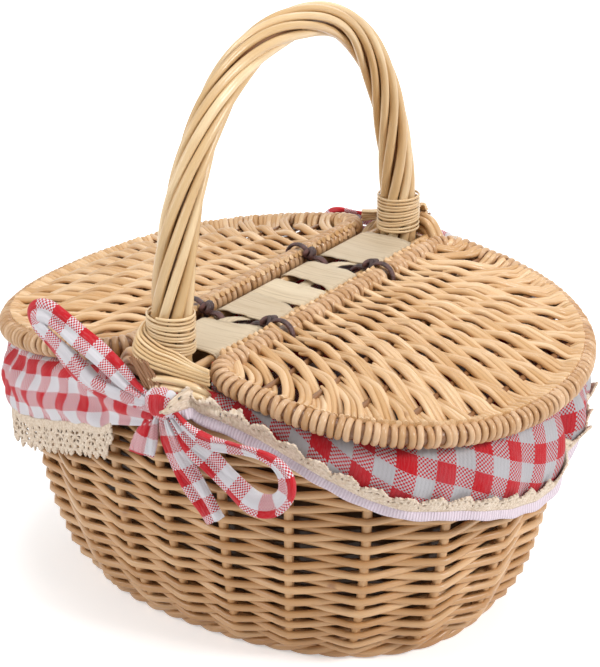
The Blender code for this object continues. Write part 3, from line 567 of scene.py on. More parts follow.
def rim_place(angle, offset, rise):
    """Point beside the border: offset outwards, rise above its middle."""
    x, y = plan(angle, RIM_HALF_X + offset, RIM_HALF_Y + offset)
    middle = plan(angle, RIM_HALF_X, RIM_HALF_Y)[0]
    return np.stack([x, y, border_z(middle) + rise], -1)


def wall_outward(angle, z):
    along = wall_place(angle + NORMAL_STEP, z, 0) - wall_place(angle - NORMAL_STEP, z, 0)
    below = np.maximum(z - NORMAL_STEP, WALL_FOOT_Z)
    return unit(np.cross(along, wall_place(angle, z + NORMAL_STEP, 0) - wall_place(angle, below, 0)))


def stake_angles():
    return 2 * pi * (np.arange(STAKE_COUNT) + 0.5) / STAKE_COUNT


def row_heights(pitch):
    """Heights of the rows, evenly spaced along the bowl's curved side."""
    z = np.linspace(WALL_FOOT_Z, wall_top(0.0), SIDE_SAMPLES)
    run = path_run(wall_place(np.full(SIDE_SAMPLES, SIDE_ANGLE), z, 0))
    return np.interp(np.arange(pitch * FIRST_ROW_SHARE, run[-1], pitch), run, z)


def weave_wave(phase):
    """Straight runs between stakes with a short bend round each."""
    return np.arcsin(WEAVE_SHARPNESS * np.cos(phase)) / np.arcsin(WEAVE_SHARPNESS)


# Wall

WEAVE_INSET = WALL_THICK / 2 + 0.0006
STAKE_SINK = 0.004
STAKE_SAMPLES = 26
# Heights of a stake's end, from the middle of the border, and how far inside it lies
STAKE_END_RISES = (-0.012, -0.008, -0.002)
STAKE_END_INSET = 0.001
STAKE_UP_Z = 0.08
STAKE_SPREAD = 0.04
ROW_SPREAD = 0.00035
STEPS_PER_STAKE = 8
# Share of a stake's spacing over which the end of an open row tucks in
ROW_TUCK = 0.8
ROD_FLATNESS = 0.92


class BASKET_OT_wall(bpy.types.Operator):
    """Weave the wall: rods in front of and behind the stakes, row by row"""

    bl_idname = "basket.wall"
    bl_label = "Wall"

    def execute(self, context):
        sizes, colours = context.scene.willow_sizes, context.scene.finish_colours
        chance = np.random.default_rng(11)
        rods, stakes = Strands(), Strands()
        for number, z in enumerate(row_heights(sizes.row_pitch)):
            for run, closed in self.row_runs(z):
                self.weave_run(rods, number, z, run, closed, sizes, chance)
        for angle in stake_angles():
            self.raise_stake(stakes, angle, sizes.stake_radius, chance)
        wood = willow("willow_body", colours.body_wood)
        rods.place("wall_rods", wood, "willow_body", ["wall_weave"])
        stakes.place("wall_stakes", wood, "willow_body", [])
        return {"FINISHED"}

    def raise_stake(self, stakes, angle, radius, chance):
        """One stake, from below the weave up into the border."""
        top = wall_top(plan(angle, RIM_HALF_X, RIM_HALF_Y)[0])
        z = np.linspace(WALL_FOOT_Z - STAKE_SINK, top, STAKE_SAMPLES)
        path = wall_place(np.full(STAKE_SAMPLES, angle), z, WEAVE_INSET)
        rises = np.array(STAKE_END_RISES)
        path = np.vstack([path, rim_place(np.full(len(rises), angle), -STAKE_END_INSET, rises)])
        radius = radius * (1 + chance.normal(0, STAKE_SPREAD))
        outward = wall_outward(np.array([angle]), np.array([STAKE_UP_Z]))[0]
        stakes.add(path, radius, up=outward, shade=chance.uniform(0.55, 1.0))

    def row_runs(self, z):
        """Stakes that a row passes, and whether it closes: the upper rows end where the wall is lower."""
        inside = wall_top(plan(stake_angles(), RIM_HALF_X, RIM_HALF_Y)[0]) > z
        if inside.all():
            return [(np.arange(STAKE_COUNT + 1), True)]
        runs = []
        for start in [k for k in range(STAKE_COUNT) if inside[k] and not inside[k - 1]]:
            run = [start]
            while inside[(run[-1] + 1) % STAKE_COUNT]:
                run.append(run[-1] + 1)
            runs.append((np.array([start - 1, *run, run[-1] + 1]), False))
        return runs

    def weave_run(self, rods, number, z, run, closed, sizes, chance):
        jitter = chance.normal(0, ROW_SPREAD, STAKE_COUNT)
        thick = chance.uniform(0.9, 1.1, STAKE_COUNT)
        spans = len(run) - 1
        share = np.arange(spans * STEPS_PER_STAKE + (0 if closed else 1)) / STEPS_PER_STAKE
        at = run[0] + share
        low = np.floor(at).astype(int)
        part = (at - low)[:, None]
        places, outwards = [], []
        for stake in (low % STAKE_COUNT, (low + 1) % STAKE_COUNT):
            angle, height = stake_angles()[stake], z + jitter[stake]
            places.append(wall_place(angle, height, WEAVE_INSET))
            outwards.append(wall_outward(angle, height))
        outward = unit(outwards[0] * (1 - part) + outwards[1] * part)
        wave = weave_wave(pi * at) * (1 if number % 2 else -1)
        ease = np.ones(len(at)) if closed else smooth(np.minimum(share, spans - share) / ROW_TUCK)
        path = places[0] * (1 - part) + places[1] * part + outward * (sizes.wall_wave * wave * ease)[:, None]
        radius = sizes.rod_radius * np.interp(at % STAKE_COUNT, np.arange(STAKE_COUNT), thick)
        radius = radius * (0.5 + 0.5 * ease)
        ahead = unit(np.roll(path, -1, 0) - path) if closed else np.gradient(path, axis=0)
        rods.add(path, radius * ROD_FLATNESS, flat=radius, up=np.cross(outward, ahead), closed=closed,
                 shade=chance.uniform(0.0, 1.0))


# Border and base

RING_SAMPLES = 220
RING_BUNCHING = 0.25
RING_WAVES = (7, 11, 17)
WALE_WOBBLE = 0.00012
BORDER_WOBBLE = 0.00018
# Each border rod: how far out and up it lies from the band's middle, its radius and shade
BORDER_RODS = ((0.0022, -0.0044, 0.0024, 0.75), (0.0030, 0.0002, 0.0024, 0.95), (0.0020, 0.0047, 0.0023, 0.6),
               (-0.0022, 0.0040, 0.0023, 0.5), (-0.0026, -0.0008, 0.0024, 0.3))
FOOT_STRANDS = 3
FOOT_SAMPLES = 330
FOOT_INSET = 0.0045
FOOT_SWING = 0.0021
FOOT_Z = 0.0046
FOOT_ROD_RADIUS = 0.0024
FLOOR_RINGS = 19
FLOOR_SAMPLES = 96
FLOOR_INSET = 0.013
FLOOR_Z = 0.0047
FLOOR_WAVE = 0.0016
FLOOR_RING_RADIUS = 0.0023
FLOOR_SPOKES = 12
FLOOR_SPOKE_INSET = 0.014
FLOOR_SPOKE_RADIUS = 0.002


def ring_path(offset, rise, wobble, seed):
    """Closed line round the border, a little uneven."""
    angle = circle(RING_SAMPLES)
    angle = angle + RING_BUNCHING * np.sin(2 * angle)
    chance = np.random.default_rng(seed)
    waves = sum(np.sin(angle * k + chance.uniform(0, 6.28)) for k in RING_WAVES) * wobble
    return rim_place(angle, offset + waves, rise + np.roll(waves, RING_SAMPLES // RING_WAVES[0]))


class BASKET_OT_border(bpy.types.Operator):
    """Lay the wales round the top of the wall and the band of border rods above them"""

    bl_idname = "basket.border"
    bl_label = "Border and wales"

    def execute(self, context):
        colours = context.scene.finish_colours
        wood = willow("willow_border", warm(colours.lid_wood, 0.96, 0.93, 0.86)[:3], 0.36)
        pale = willow("willow_wale", warm(colours.lid_wood, 1.02, 1.02, 1.0)[:3], 0.36)
        height = 2 * WALE_RADIUS + GAP
        bottom = -(BORDER_HALF_HEIGHT + RIM_OPEN_HEIGHT + 2 * height)
        for k, name in enumerate(("lower", "upper")):
            wale = Strands()
            rise = bottom + GAP + WALE_RADIUS + k * height
            line = ring_path(WALE_OFFSET, rise, WALE_WOBBLE, 31 + k)
            wale.add(line, WALE_RADIUS, closed=True, sides=10, shade=0.8)
            wale.place("rim_wale_" + name, pale, "willow_body", ["wale_" + name])
        band = Strands()
        for k, (offset, rise, radius, shade) in enumerate(BORDER_RODS):
            line = ring_path(offset, rise, BORDER_WOBBLE, 41 + k)
            band.add(line, radius, closed=True, sides=10, shade=shade)
        band.place("border_rods", wood, "willow_lid", ["rim_border"])
        return {"FINISHED"}


class BASKET_OT_base(bpy.types.Operator):
    """Weave the bottom and twist the foot rods round its edge"""

    bl_idname = "basket.base"
    bl_label = "Base"

    def execute(self, context):
        wood = willow("willow_base", warm(context.scene.finish_colours.body_wood, 0.95, 0.92, 0.9)[:3], 0.46)
        foot, floor = Strands(), Strands()
        self.twist_foot(foot)
        self.weave_floor(floor, np.random.default_rng(5))
        foot.place("foot_rods", wood, "willow_body", ["base_border"])
        floor.place("floor_weave", wood, "willow_body", ["base_weave"])
        return {"FINISHED"}

    def twist_foot(self, foot):
        angle = circle(FOOT_SAMPLES)
        for k in range(FOOT_STRANDS):
            turn = STAKE_COUNT * angle / 1.5 + 2 * pi * k / FOOT_STRANDS
            inset = FOOT_INSET - FOOT_SWING * np.cos(turn)
            x, y = plan(angle, BASE_HALF_X - inset, BASE_HALF_Y - inset, 0)
            path = np.stack([x, y, FOOT_Z + FOOT_SWING * np.sin(turn)], -1)
            foot.add(path, FOOT_ROD_RADIUS, closed=True, shade=0.35 + 0.25 * k)

    def weave_floor(self, floor, chance):
        angle = circle(FLOOR_SAMPLES)
        for k in range(FLOOR_RINGS):
            share = (k + 0.6) / FLOOR_RINGS
            x, y = plan(angle, (BASE_HALF_X - FLOOR_INSET) * share, (BASE_HALF_Y - FLOOR_INSET) * share, 0)
            wave = FLOOR_WAVE * np.cos(FLOOR_SPOKES * angle + pi * k)
            path = np.stack([x, y, FLOOR_Z + wave], -1)
            floor.add(path, FLOOR_RING_RADIUS, closed=True, sides=6, shade=chance.uniform(0, 1))
        for k in range(FLOOR_SPOKES):
            angle = pi * (k + 0.5) / FLOOR_SPOKES
            half_x, half_y = BASE_HALF_X - FLOOR_SPOKE_INSET, BASE_HALF_Y - FLOOR_SPOKE_INSET
            x, y = plan(np.array([angle, angle + pi]), half_x, half_y, 0)
            ends = np.stack([x, y, np.full(2, FLOOR_Z)], -1)
            floor.add(np.linspace(ends[0], ends[1], 12), FLOOR_SPOKE_RADIUS, sides=6, shade=0.7)


# Handle

CORE_RADIUS = 0.0054
FOOT_DROP = 0.028
ARCH_SAMPLES = 400
HANDLE_SAMPLES = 240
# The twist narrows over the arch, from one distance to another from each end
SLIMMING = 0.15
SLIM_FROM = 0.05
SLIM_OVER = 0.11
# Waves in a metre of the rods' drift round the handle, and how far they drift, in radians
DRIFT_WAVES = (21.0, 37.0, 63.0)
DRIFT = 0.035
# Waves in a metre, and their height, of each rod's lift off the handle and of its thickness
LIFT_WAVES = (45.0, 0.02)
THICK_WAVES = (17.0, 0.07)
WINDING_RADIUS = 0.0119
WINDING_TOP = 0.1905
WINDING_BOTTOM = 0.1700
WINDING_PITCH = 0.00185
WINDING_TURN_STEPS = 40
# The winding tilts more towards its foot, highest at this angle
WINDING_TILTS = (0.04, 0.16)
WINDING_TILT_DEG = 34
CANE_HALF_WIDTH = 0.00079
CANE_HALF_THICK = 0.00062
# Middle of the first and the last lashing cane, from behind the front foot to the lid's corner
LASHING_FIRST = ((-0.0085, -0.1040, 0.1852), (-0.0118, -0.1120, 0.1842), (-0.0080, -0.1205, 0.1815),
                 (0.0030, -0.1232, 0.1775), (0.0130, -0.1222, 0.1752), (0.0225, -0.1216, 0.1716),
                 (0.0318, -0.1212, 0.1700))
LASHING_LAST = ((-0.0125, -0.1100, 0.1768), (-0.0128, -0.1190, 0.1766), (-0.0070, -0.1305, 0.1742),
                (0.0030, -0.1326, 0.1712), (0.0130, -0.1305, 0.1690), (0.0225, -0.1260, 0.1662),
                (0.0330, -0.1222, 0.1638))
LASHING_CANES = 7
LASHING_SAMPLES = 60
LASHING_REAR_START = 20
LASHING_HALF_WIDTH = 0.00092
LASHING_HALF_THICK = 0.00086
LASHING_SPREAD = 0.00012
# Middle of a pale border rod that runs under the lashing into the cloth, and the step to a second one
PALE_ROD_LINE = ((0.0035, -0.1318, 0.1636), (0.0130, -0.1312, 0.1648), (0.0220, -0.1280, 0.1636),
                 (0.0280, -0.1235, 0.1600), (0.0310, -0.1180, 0.1530))
PALE_ROD_STEP = (0.0012, -0.0003, -0.0042)
PALE_ROD_RADIUS = 0.0020
# Brown rod ends under the lashing: how many, where the first starts, the step and the slant
END_COUNT = 7
END_START = (-0.0078, 0.1728)
END_STEP = 0.0017
END_SLANT = (0.0098, -0.0145)
END_STAND = 0.0064
END_RADIUS = 0.00084


def handle_line(samples):
    """Points, outward normals, distances and whole length along the handle's middle."""
    angle = np.linspace(0, pi, ARCH_SAMPLES)
    y = -HANDLE_HALF_SPAN * np.sign(np.cos(angle)) * np.abs(np.cos(angle)) ** (2 / ARCH_POWER)
    z = HANDLE_FOOT_Z + HANDLE_RISE * np.sin(angle).clip(0) ** (2 / ARCH_POWER)
    feet = [[0, side * HANDLE_HALF_SPAN, HANDLE_FOOT_Z - FOOT_DROP] for side in (-1, 1)]
    line = np.vstack([feet[0], np.stack([0 * y, y, z], -1), feet[1]])
    run = path_run(line)
    distance = np.linspace(0, run[-1], samples)
    points = follow(distance, run, line)
    tangent = unit(np.gradient(points, axis=0))
    outward = np.stack([0 * distance, -tangent[:, 2], tangent[:, 1]], -1)
    return points, outward, distance, run[-1]


class BASKET_OT_handle(bpy.types.Operator):
    """Twist the handle's rods and wind the cane round its feet"""

    bl_idname = "basket.handle"
    bl_label = "Handle"

    def execute(self, context):
        colours = context.scene.finish_colours
        wood = willow("willow_handle", colours.handle_wood, 0.34, 1.3)
        # Core and rod ends in dark brown: painted shade between the rods, and partly painted shade on the
        # ends
        brown = willow("willow_brown", CORE_SHADE_BROWN, 0.4)
        cane = willow("willow_binding", warm(colours.handle_wood, 1.04, 1.05, 1.08)[:3], 0.34, 0.6)
        chance = np.random.default_rng(3)
        self.twist_rods(wood, brown, chance)
        for name, side in (("front", -1), ("rear", 1)):
            wound = Strands()
            self.wind_foot(wound, side)
            self.add_lashing(wound, side, chance)
            for k in range(2):
                line = curve_through(PALE_ROD_LINE, 30) + k * np.array(PALE_ROD_STEP)
                wound.add(line * (-side, -side, 1), PALE_ROD_RADIUS, sides=10, shade=0.9)
            wound.place("foot_winding_" + name, cane, "willow_handle", ["binding_" + name])
            self.show_rod_ends(name, side, brown, chance)
        return {"FINISHED"}

    def twist_rods(self, wood, brown, chance):
        """Eight rods twisted round the core."""
        points, outward, distance, total = handle_line(HANDLE_SAMPLES)
        end = np.minimum(distance, total - distance)
        slim = 1.0 - SLIMMING * smooth((end - SLIM_FROM) / SLIM_OVER)
        core = Strands()
        core.add(points, CORE_RADIUS * slim, up=X, sides=10, shade=0.4)
        core.place("core_rod", brown, "willow_handle", ["handle_core"])
        for k in range(ROD_COUNT):
            drift = sum(np.sin(distance * wave + chance.uniform(0, 6.28)) for wave in DRIFT_WAVES) * DRIFT
            angle = 2 * pi * (k / ROD_COUNT + ROD_TURNS * distance / total) + drift
            ring = ROD_RING_RADIUS * slim * (1 + LIFT_WAVES[1] * np.sin(distance * LIFT_WAVES[0] + k * 2.1))
            path = points + outward * (ring * np.cos(angle))[:, None] + X * (ring * np.sin(angle))[:, None]
            thick = ROD_RADIUS * slim * (0.95 + THICK_WAVES[1] * np.sin(distance * THICK_WAVES[0] + k * 1.7))
            rod = Strands()
            rod.add(path, thick, up=X, sides=12, shade=chance.uniform(0.1, 1.0))
            rod.place("twist_rod_%d" % (k + 1), wood, "willow_handle", ["handle_rod_%d" % (k + 1)])

    def wind_foot(self, wound, side):
        """Flat cane wound down a foot."""
        loops = int((WINDING_TOP - WINDING_BOTTOM) / WINDING_PITCH)
        turn = 2 * pi * np.arange(loops * WINDING_TURN_STEPS + 1) / WINDING_TURN_STEPS
        share = turn / turn[-1]
        wander = 0.00025 * np.sin(turn * 0.37) + 0.00015 * np.sin(turn * 1.3 + 1.0)
        around = WINDING_RADIUS * np.stack([np.sin(turn), -np.cos(turn)], -1)
        start, more = WINDING_TILTS
        tilt = (start + more * share) * WINDING_RADIUS * np.sin(turn - radians(WINDING_TILT_DEG))
        z = WINDING_TOP - WINDING_PITCH * turn / (2 * pi) - tilt * (1 - smooth((share - 0.8) / 0.2)) + wander
        path = np.stack([around[:, 0], around[:, 1] - HANDLE_HALF_SPAN, z], -1)
        width = CANE_HALF_WIDTH + 0.00008 * np.sin(turn * 0.61)
        wound.add(path * (-side, -side, 1), CANE_HALF_THICK, flat=width, sides=10, shade=0.7)

    def add_lashing(self, wound, side, chance):
        """Canes that lead round the foot's left side and fan out over the border to the lid's corner."""
        first, last = (curve_through(line, LASHING_SAMPLES) for line in (LASHING_FIRST, LASHING_LAST))
        for k in range(LASHING_CANES):
            level = k / (LASHING_CANES - 1)
            share = np.array((level, sin(pi / 2 * level), 1 - cos(pi / 2 * level)))
            path = (first + (last - first) * share + chance.normal(0, LASHING_SPREAD, 3)) * (-side, -side, 1)
            if side > 0:
                path = path[LASHING_REAR_START:]
            wound.add(path, LASHING_HALF_THICK, flat=LASHING_HALF_WIDTH, shade=chance.uniform(0.1, 1.0))

    def show_rod_ends(self, name, side, wood, chance):
        """Brown ends of rods, slanting out from under the lashing."""
        ends = Strands()
        fall = np.linspace(0, 1, 8)
        for k in range(END_COUNT):
            x = END_START[0] + END_STEP * k + END_SLANT[0] * fall
            y = -(RIM_HALF_Y + FOOT_BULGE + END_STAND) + 0.0004 * np.sin(5 * fall + 2 * k)
            path = np.stack([x, y, END_START[1] + END_SLANT[1] * fall], -1) * (-side, -side, 1)
            ends.add(path, END_RADIUS, up=Y, shade=chance.uniform(0.0, 1.0))
        ends.place("rod_ends_" + name, wood, "willow_handle", ["binding_" + name])


# Bridge between the lids and its leather ties

RAIL_OVERHANG = 0.002
RAIL_SAMPLES = 30
SPLINT_THICK = 0.0008
SPLINT_STAND = RAIL_RADIUS + GAP + 0.0006
SPLINT_DIP = 0.0006
SPLINT_WRAP_DEG = (268, 90)
SPLINT_COLUMNS = 15
SPLINT_SLANT = 0.0034
SPLINT_BOW = 0.0016
SPLINT_UNEVEN = 0.00035
# The outer part of a splint curls up at its edges
SPLINT_CURL = 0.0021
SPLINT_CURL_START = 0.55
SPLINT_RIPPLE = 0.00018
STRIP_HALF_WIDTH = 0.0034
STRIP_THICK = 0.0007
STRIP_SAMPLES = 60
STRIP_SINK = 0.0008
STRIP_SWAY = 0.0014
# The strip rises over each tie and swerves beside it, over these lengths
STRIP_HUMP = 0.0022
STRIP_HUMP_LENGTH = 0.0075
STRIP_SWERVE_LENGTH = 0.011
TIE_PLACES = {"front": -0.053, "rear": 0.046}
TIE_SLOPES = {"front": 0.055, "rear": 0.10}
CORD_HALF_WIDTH = 0.0021
CORD_HALF_THICK = 0.0013
CROSS_HALF_LENGTH = 0.0180
CROSS_LOW = -0.0030
CROSS_HIGH = 0.0016
KNOT_X = 0.0188
KNOT_RISE = 0.0034
# Each turn of the leather knot: its lean in radians and its half width
KNOT_TURNS = ((0.5, 0.0027), (-0.7, 0.0025))
KNOT_HALF_WIDTH = 0.0017
KNOT_HALF_THICK = 0.0012
CORD_END = (0.0016, 0.0052, 0.0016)
CORD_END_HUMP = 0.001
CORD_END_HALF_WIDTH = 0.0018
CORD_END_HALF_THICK = 0.0009
RING_STAND = 0.0013
RING_HALF_WIDTH = 0.0018
RING_HALF_THICK = 0.0011


class BASKET_OT_bridge(bpy.types.Operator):
    """Lay the bare splints over the two rails between the lids"""

    bl_idname = "basket.bridge"
    bl_label = "Bridge"

    def execute(self, context):
        colours = context.scene.finish_colours
        wood = bare_splint("splint_wood", colours.splint_wood)
        rods = willow("willow_rails", warm(colours.lid_wood, 0.9, 0.86, 0.8)[:3], 0.4)
        chance = np.random.default_rng(8)
        reach = RIM_HALF_Y + RAIL_OVERHANG
        for name, side in (("left", -1), ("right", 1)):
            rail = Strands()
            path = np.linspace((side * RAIL_X, -reach, RAIL_Z), (side * RAIL_X, reach, RAIL_Z), RAIL_SAMPLES)
            rail.add(path, RAIL_RADIUS, sides=12, shade=0.4)
            rail.place("rail_rod_" + name, rods, "splint", ["bridge_rail_" + name])
        for k, (start, end) in enumerate(SPLINT_EDGE_SHARES):
            self.lay_splint(k, start * BRIDGE_HALF_LENGTH, end * BRIDGE_HALF_LENGTH, wood, chance)
        self.lay_strip(wood)
        return {"FINISHED"}

    def splint_profile(self):
        """Section of a splint: round the left rail, over to the right one and round it."""
        around = np.radians(np.linspace(*SPLINT_WRAP_DEG, 9))
        left = np.stack([-RAIL_X + SPLINT_STAND * np.cos(around), RAIL_Z + SPLINT_STAND * np.sin(around)], -1)
        across = np.linspace(-RAIL_X, RAIL_X, 16)[1:-1]
        top = np.stack([across, RAIL_Z + SPLINT_STAND - SPLINT_DIP * np.cos(across / RAIL_X * pi / 2)], -1)
        return np.vstack([left, top, left[::-1] * (-1, 1)])

    def lay_splint(self, k, y_start, y_end, wood, chance):
        """A wide thin splint bent round both rails, its edges uneven and a little lifted."""
        profile = self.splint_profile()
        share = np.linspace(0, 1, SPLINT_COLUMNS)
        side = (profile[:, 0] / RAIL_X)[:, None]
        slant = chance.uniform(-SPLINT_SLANT, SPLINT_SLANT, 2)
        bow = chance.uniform(-SPLINT_BOW, SPLINT_BOW, 2)
        phase = chance.uniform(0, 6.28, 2)
        edges = []
        for which, (y, square) in enumerate(((y_start, k == 0), (y_end, k == len(SPLINT_EDGE_SHARES) - 1))):
            uneven = slant[which] * side + bow[which] * side ** 2
            uneven = uneven + SPLINT_UNEVEN * np.sin(9 * side + phase[which])
            edges.append(y + (0 * side if square else uneven))
        y = edges[0] * (1 - share) + edges[1] * share
        edge = np.maximum(np.abs(2 * share - 1) - SPLINT_CURL_START, 0) / (1 - SPLINT_CURL_START)
        flat = np.clip(1 - np.abs(side), 0, 1)
        lift = SPLINT_CURL * edge ** 2 * flat ** 0.5 * (0.6 + 0.4 * np.sin(k * 2.4 + share * 5))
        ripple = SPLINT_RIPPLE * np.sin(y * 900 + 4 * side) * flat
        grid = np.stack([np.broadcast_to(profile[:, :1], y.shape), y, profile[:, 1:] + lift + ripple], -1)
        run = np.broadcast_to(path_run(profile)[:, None], y.shape)
        grain = np.stack([run, y, np.full(y.shape, 0.03 * k)], -1)
        fields = {"grain": grain, "shade": np.full(y.shape, chance.uniform(0.2, 1.0))}
        piece = surface("splint_%d" % (k + 1), grid, fields, wood, SPLINT_THICK)
        place_piece(piece, ["bridge_splint_%d" % (k + 1)])

    def lay_strip(self, wood):
        """The narrow strip under the splints that holds the leather cords down."""
        y = np.linspace(-BRIDGE_HALF_LENGTH, BRIDGE_HALF_LENGTH, STRIP_SAMPLES)[:, None]
        share = np.linspace(-1, 1, 5)
        hump = swerve = 0
        for tie in TIE_PLACES.values():
            hump = hump + np.exp(-((y - tie) / STRIP_HUMP_LENGTH) ** 2)
            swerve = swerve + (y - tie) * 0.9 * np.exp(-((y - tie) / STRIP_SWERVE_LENGTH) ** 2)
        x = STRIP_HALF_WIDTH * share + STRIP_SWAY * np.sin(y * 24.0) + swerve
        z = RAIL_Z + RAIL_RADIUS - STRIP_SINK + STRIP_HUMP * hump + 0.0003 * np.cos(y * 60.0)
        grid = np.stack([x, y + 0 * share, z + 0 * share], -1)
        grain = np.stack([y + 0 * share, 0.3 + x, 0 * x], -1)
        fields = {"grain": grain, "shade": np.full(x.shape, 0.7)}
        piece = surface("strip_under_splints", grid, fields, wood, STRIP_THICK)
        place_piece(piece, ["bridge_strip"])


class BASKET_OT_ties(bpy.types.Operator):
    """Knot the leather cords that hinge the lids"""

    bl_idname = "basket.ties"
    bl_label = "Hinge ties"

    def execute(self, context):
        leather = cord_leather("tie_leather", context.scene.finish_colours.leather)
        for name, y in TIE_PLACES.items():
            cord = Strands()
            self.cross(cord, y, TIE_SLOPES[name])
            for side in (-1, 1):
                self.knot(cord, side, y, TIE_SLOPES[name])
                self.ring(cord, side, y)
            cord.place("leather_tie_" + name, leather, "leather", ["hinge_tie_" + name])
        return {"FINISHED"}

    def cross(self, cord, y, slope):
        """Flat cord over the rails, dipping under the middle strip."""
        share = np.linspace(-1, 1, 40)
        x = CROSS_HALF_LENGTH * share
        low = RAIL_Z + RAIL_RADIUS + CROSS_LOW
        z = low + (CROSS_HIGH - CROSS_LOW) * smooth((np.abs(share) - 0.28) / 0.42)
        path = np.stack([x, y + slope * x + 0.0003 * np.sin(7 * share), z], -1)
        cord.add(path, CORD_HALF_WIDTH, flat=CORD_HALF_THICK, sides=10)

    def knot(self, cord, side, y, slope):
        """Overhand knot: two crossing turns and a short flat end."""
        centre = np.array((side * KNOT_X, y + slope * side * KNOT_X, RAIL_Z + RAIL_RADIUS + KNOT_RISE))
        turn = circle(26)[:, None]
        for tilt, wide in KNOT_TURNS:
            across = np.array((cos(tilt), sin(tilt) * side, 0.25))
            loop = centre + wide * np.cos(turn) * Z * 0.75 + wide * np.sin(turn) * unit(across)
            loop = loop + 0.0005 * np.sin(2 * turn) * Y
            up = np.cross(across, Z)
            cord.add(loop, KNOT_HALF_WIDTH, flat=KNOT_HALF_THICK, up=up, closed=True, shade=0.4)
        share = np.linspace(0, 1, 8)[:, None]
        tip = centre + np.array(CORD_END) * (side, 1, 1)
        path = centre * (1 - share) + tip * share + Z * (CORD_END_HUMP * np.sin(pi * share))
        cord.add(path, CORD_END_HALF_WIDTH, flat=CORD_END_HALF_THICK, shade=0.6)

    def ring(self, cord, side, y):
        """Turn of cord round the lid's bar, on which the lid swings."""
        turn = circle(30)
        radius = LID_BAR_RADIUS + GAP + RING_STAND
        x, z = side * HINGE_X + radius * np.cos(turn), HINGE_Z + radius * np.sin(turn)
        path = np.stack([x, y + 0.0003 * np.sin(turn), z], -1)
        cord.add(path, RING_HALF_THICK, flat=RING_HALF_WIDTH, up=Y, closed=True)


# Lids

LID_ROD_SAMPLES = 56
HOOP_SAMPLES = 801
WRAP_SAMPLES = 601
HOOP_CORE_RADIUS = 0.0044
RIB_RADIUS = 0.0017
RIB_SINK = 0.0010
RIB_SAMPLES = 30
# Share of the hoop at each end where no rod arrives
HOOP_BARE_SHARE = 0.020
BAR_REACH = 0.002
TIE_PUSH = 0.0011
TIE_PUSH_LENGTH = 0.004
# The rods of a group: where each starts along the bar and where it ends along the hoop, in groups
GROUP_STARTS = (0.0009, -0.0009, -0.0024)
GROUP_ENDS = (-0.22, 0.14, 0.48)
ROD_START_U = -0.0056
ROD_END_INSET = 0.0015
SHORT_ROD = 0.05
# How firmly a rod leaves the bar and arrives at the hoop
LEAVE_PULL = 0.95
ARRIVE_PULL = (0.75, 0.25)
ROD_FADE = 0.008
ROD_FADE_HOOP = 0.009
HOOP_CLIMB = 0.0035
BAR_CLIMB = 0.0042
ROD_LIFT_SPREAD = 0.00022
TAPER_LENGTH = 0.012
LID_ROD_FLATNESS = 0.94
WRAP_RING = 0.0047
WRAP_HALF_THICK = 0.0014
WRAP_SHIFT = 0.0004
WRAP_SAMPLES_ROUND = 18
TIE_CLEARANCE = 0.0030


def lid_half(u, inset):
    """Half width of the lid's outline at a distance from its hinge line."""
    far, half = LID_REACH - inset, LID_HALF_WIDTH - inset
    corner, start = LID_CORNER_RADIUS - inset, LID_CORNER_RADIUS - LID_BAR_RADIUS
    near = half - corner + np.sqrt(np.maximum(corner ** 2 - np.maximum(start - u, 0) ** 2, 0))
    share = np.clip((u - LID_CURVE_START) / (far - LID_CURVE_START), 0, 1)
    return np.where(u < LID_CURVE_START, near, half * (1 - share ** LID_POWER) ** (1 / LID_POWER))


def lid_rise(u, v):
    """Height of the lid's gentle dome."""
    across = 1 - (v / LID_HALF_WIDTH) ** 2
    return LID_DOME * np.maximum(across, 0) * np.sin(pi * np.clip(u / LID_REACH, 0, 1))


def hoop_line(count):
    """Evenly spaced points, tangents and outward normals along the hoop's middle, and its length."""
    corner = LID_CORNER_RADIUS - LID_BAR_RADIUS
    half_bar = LID_HALF_WIDTH - LID_CORNER_RADIUS
    turn = np.linspace(0, pi / 2, 24)
    start = np.stack([corner * (1 - np.cos(turn)), half_bar + corner * np.sin(turn)], -1)
    angle = np.linspace(0, pi / 2, 120)
    far = LID_REACH - LID_BAR_RADIUS
    u = LID_CURVE_START + (far - LID_CURVE_START) * np.sin(angle) ** (2 / LID_POWER)
    v = (LID_HALF_WIDTH - LID_BAR_RADIUS) * np.cos(angle).clip(0) ** (2 / LID_POWER)
    quarter = np.vstack([start, np.stack([u, v], -1)])
    line = np.vstack([quarter, quarter[-2::-1] * (1, -1)])
    run = path_run(line)
    points = follow(np.linspace(0, 1, count) * run[-1], run, line)
    tangent = unit(np.gradient(points, axis=0))
    return points, tangent, np.stack([-tangent[:, 1], tangent[:, 0]], -1), run[-1]


def lid_matrix(side):
    turn = Matrix.Rotation(0 if side > 0 else pi, 4, "Z") @ Matrix.Rotation(radians(LID_TILT_DEG), 4, "Y")
    return Matrix.Translation((side * HINGE_X, 0, HINGE_Z)) @ turn


def rib_places():
    return [LID_BAR_RADIUS + (LID_REACH - 3 * LID_BAR_RADIUS) * share for share in LID_RIB_SHARES]


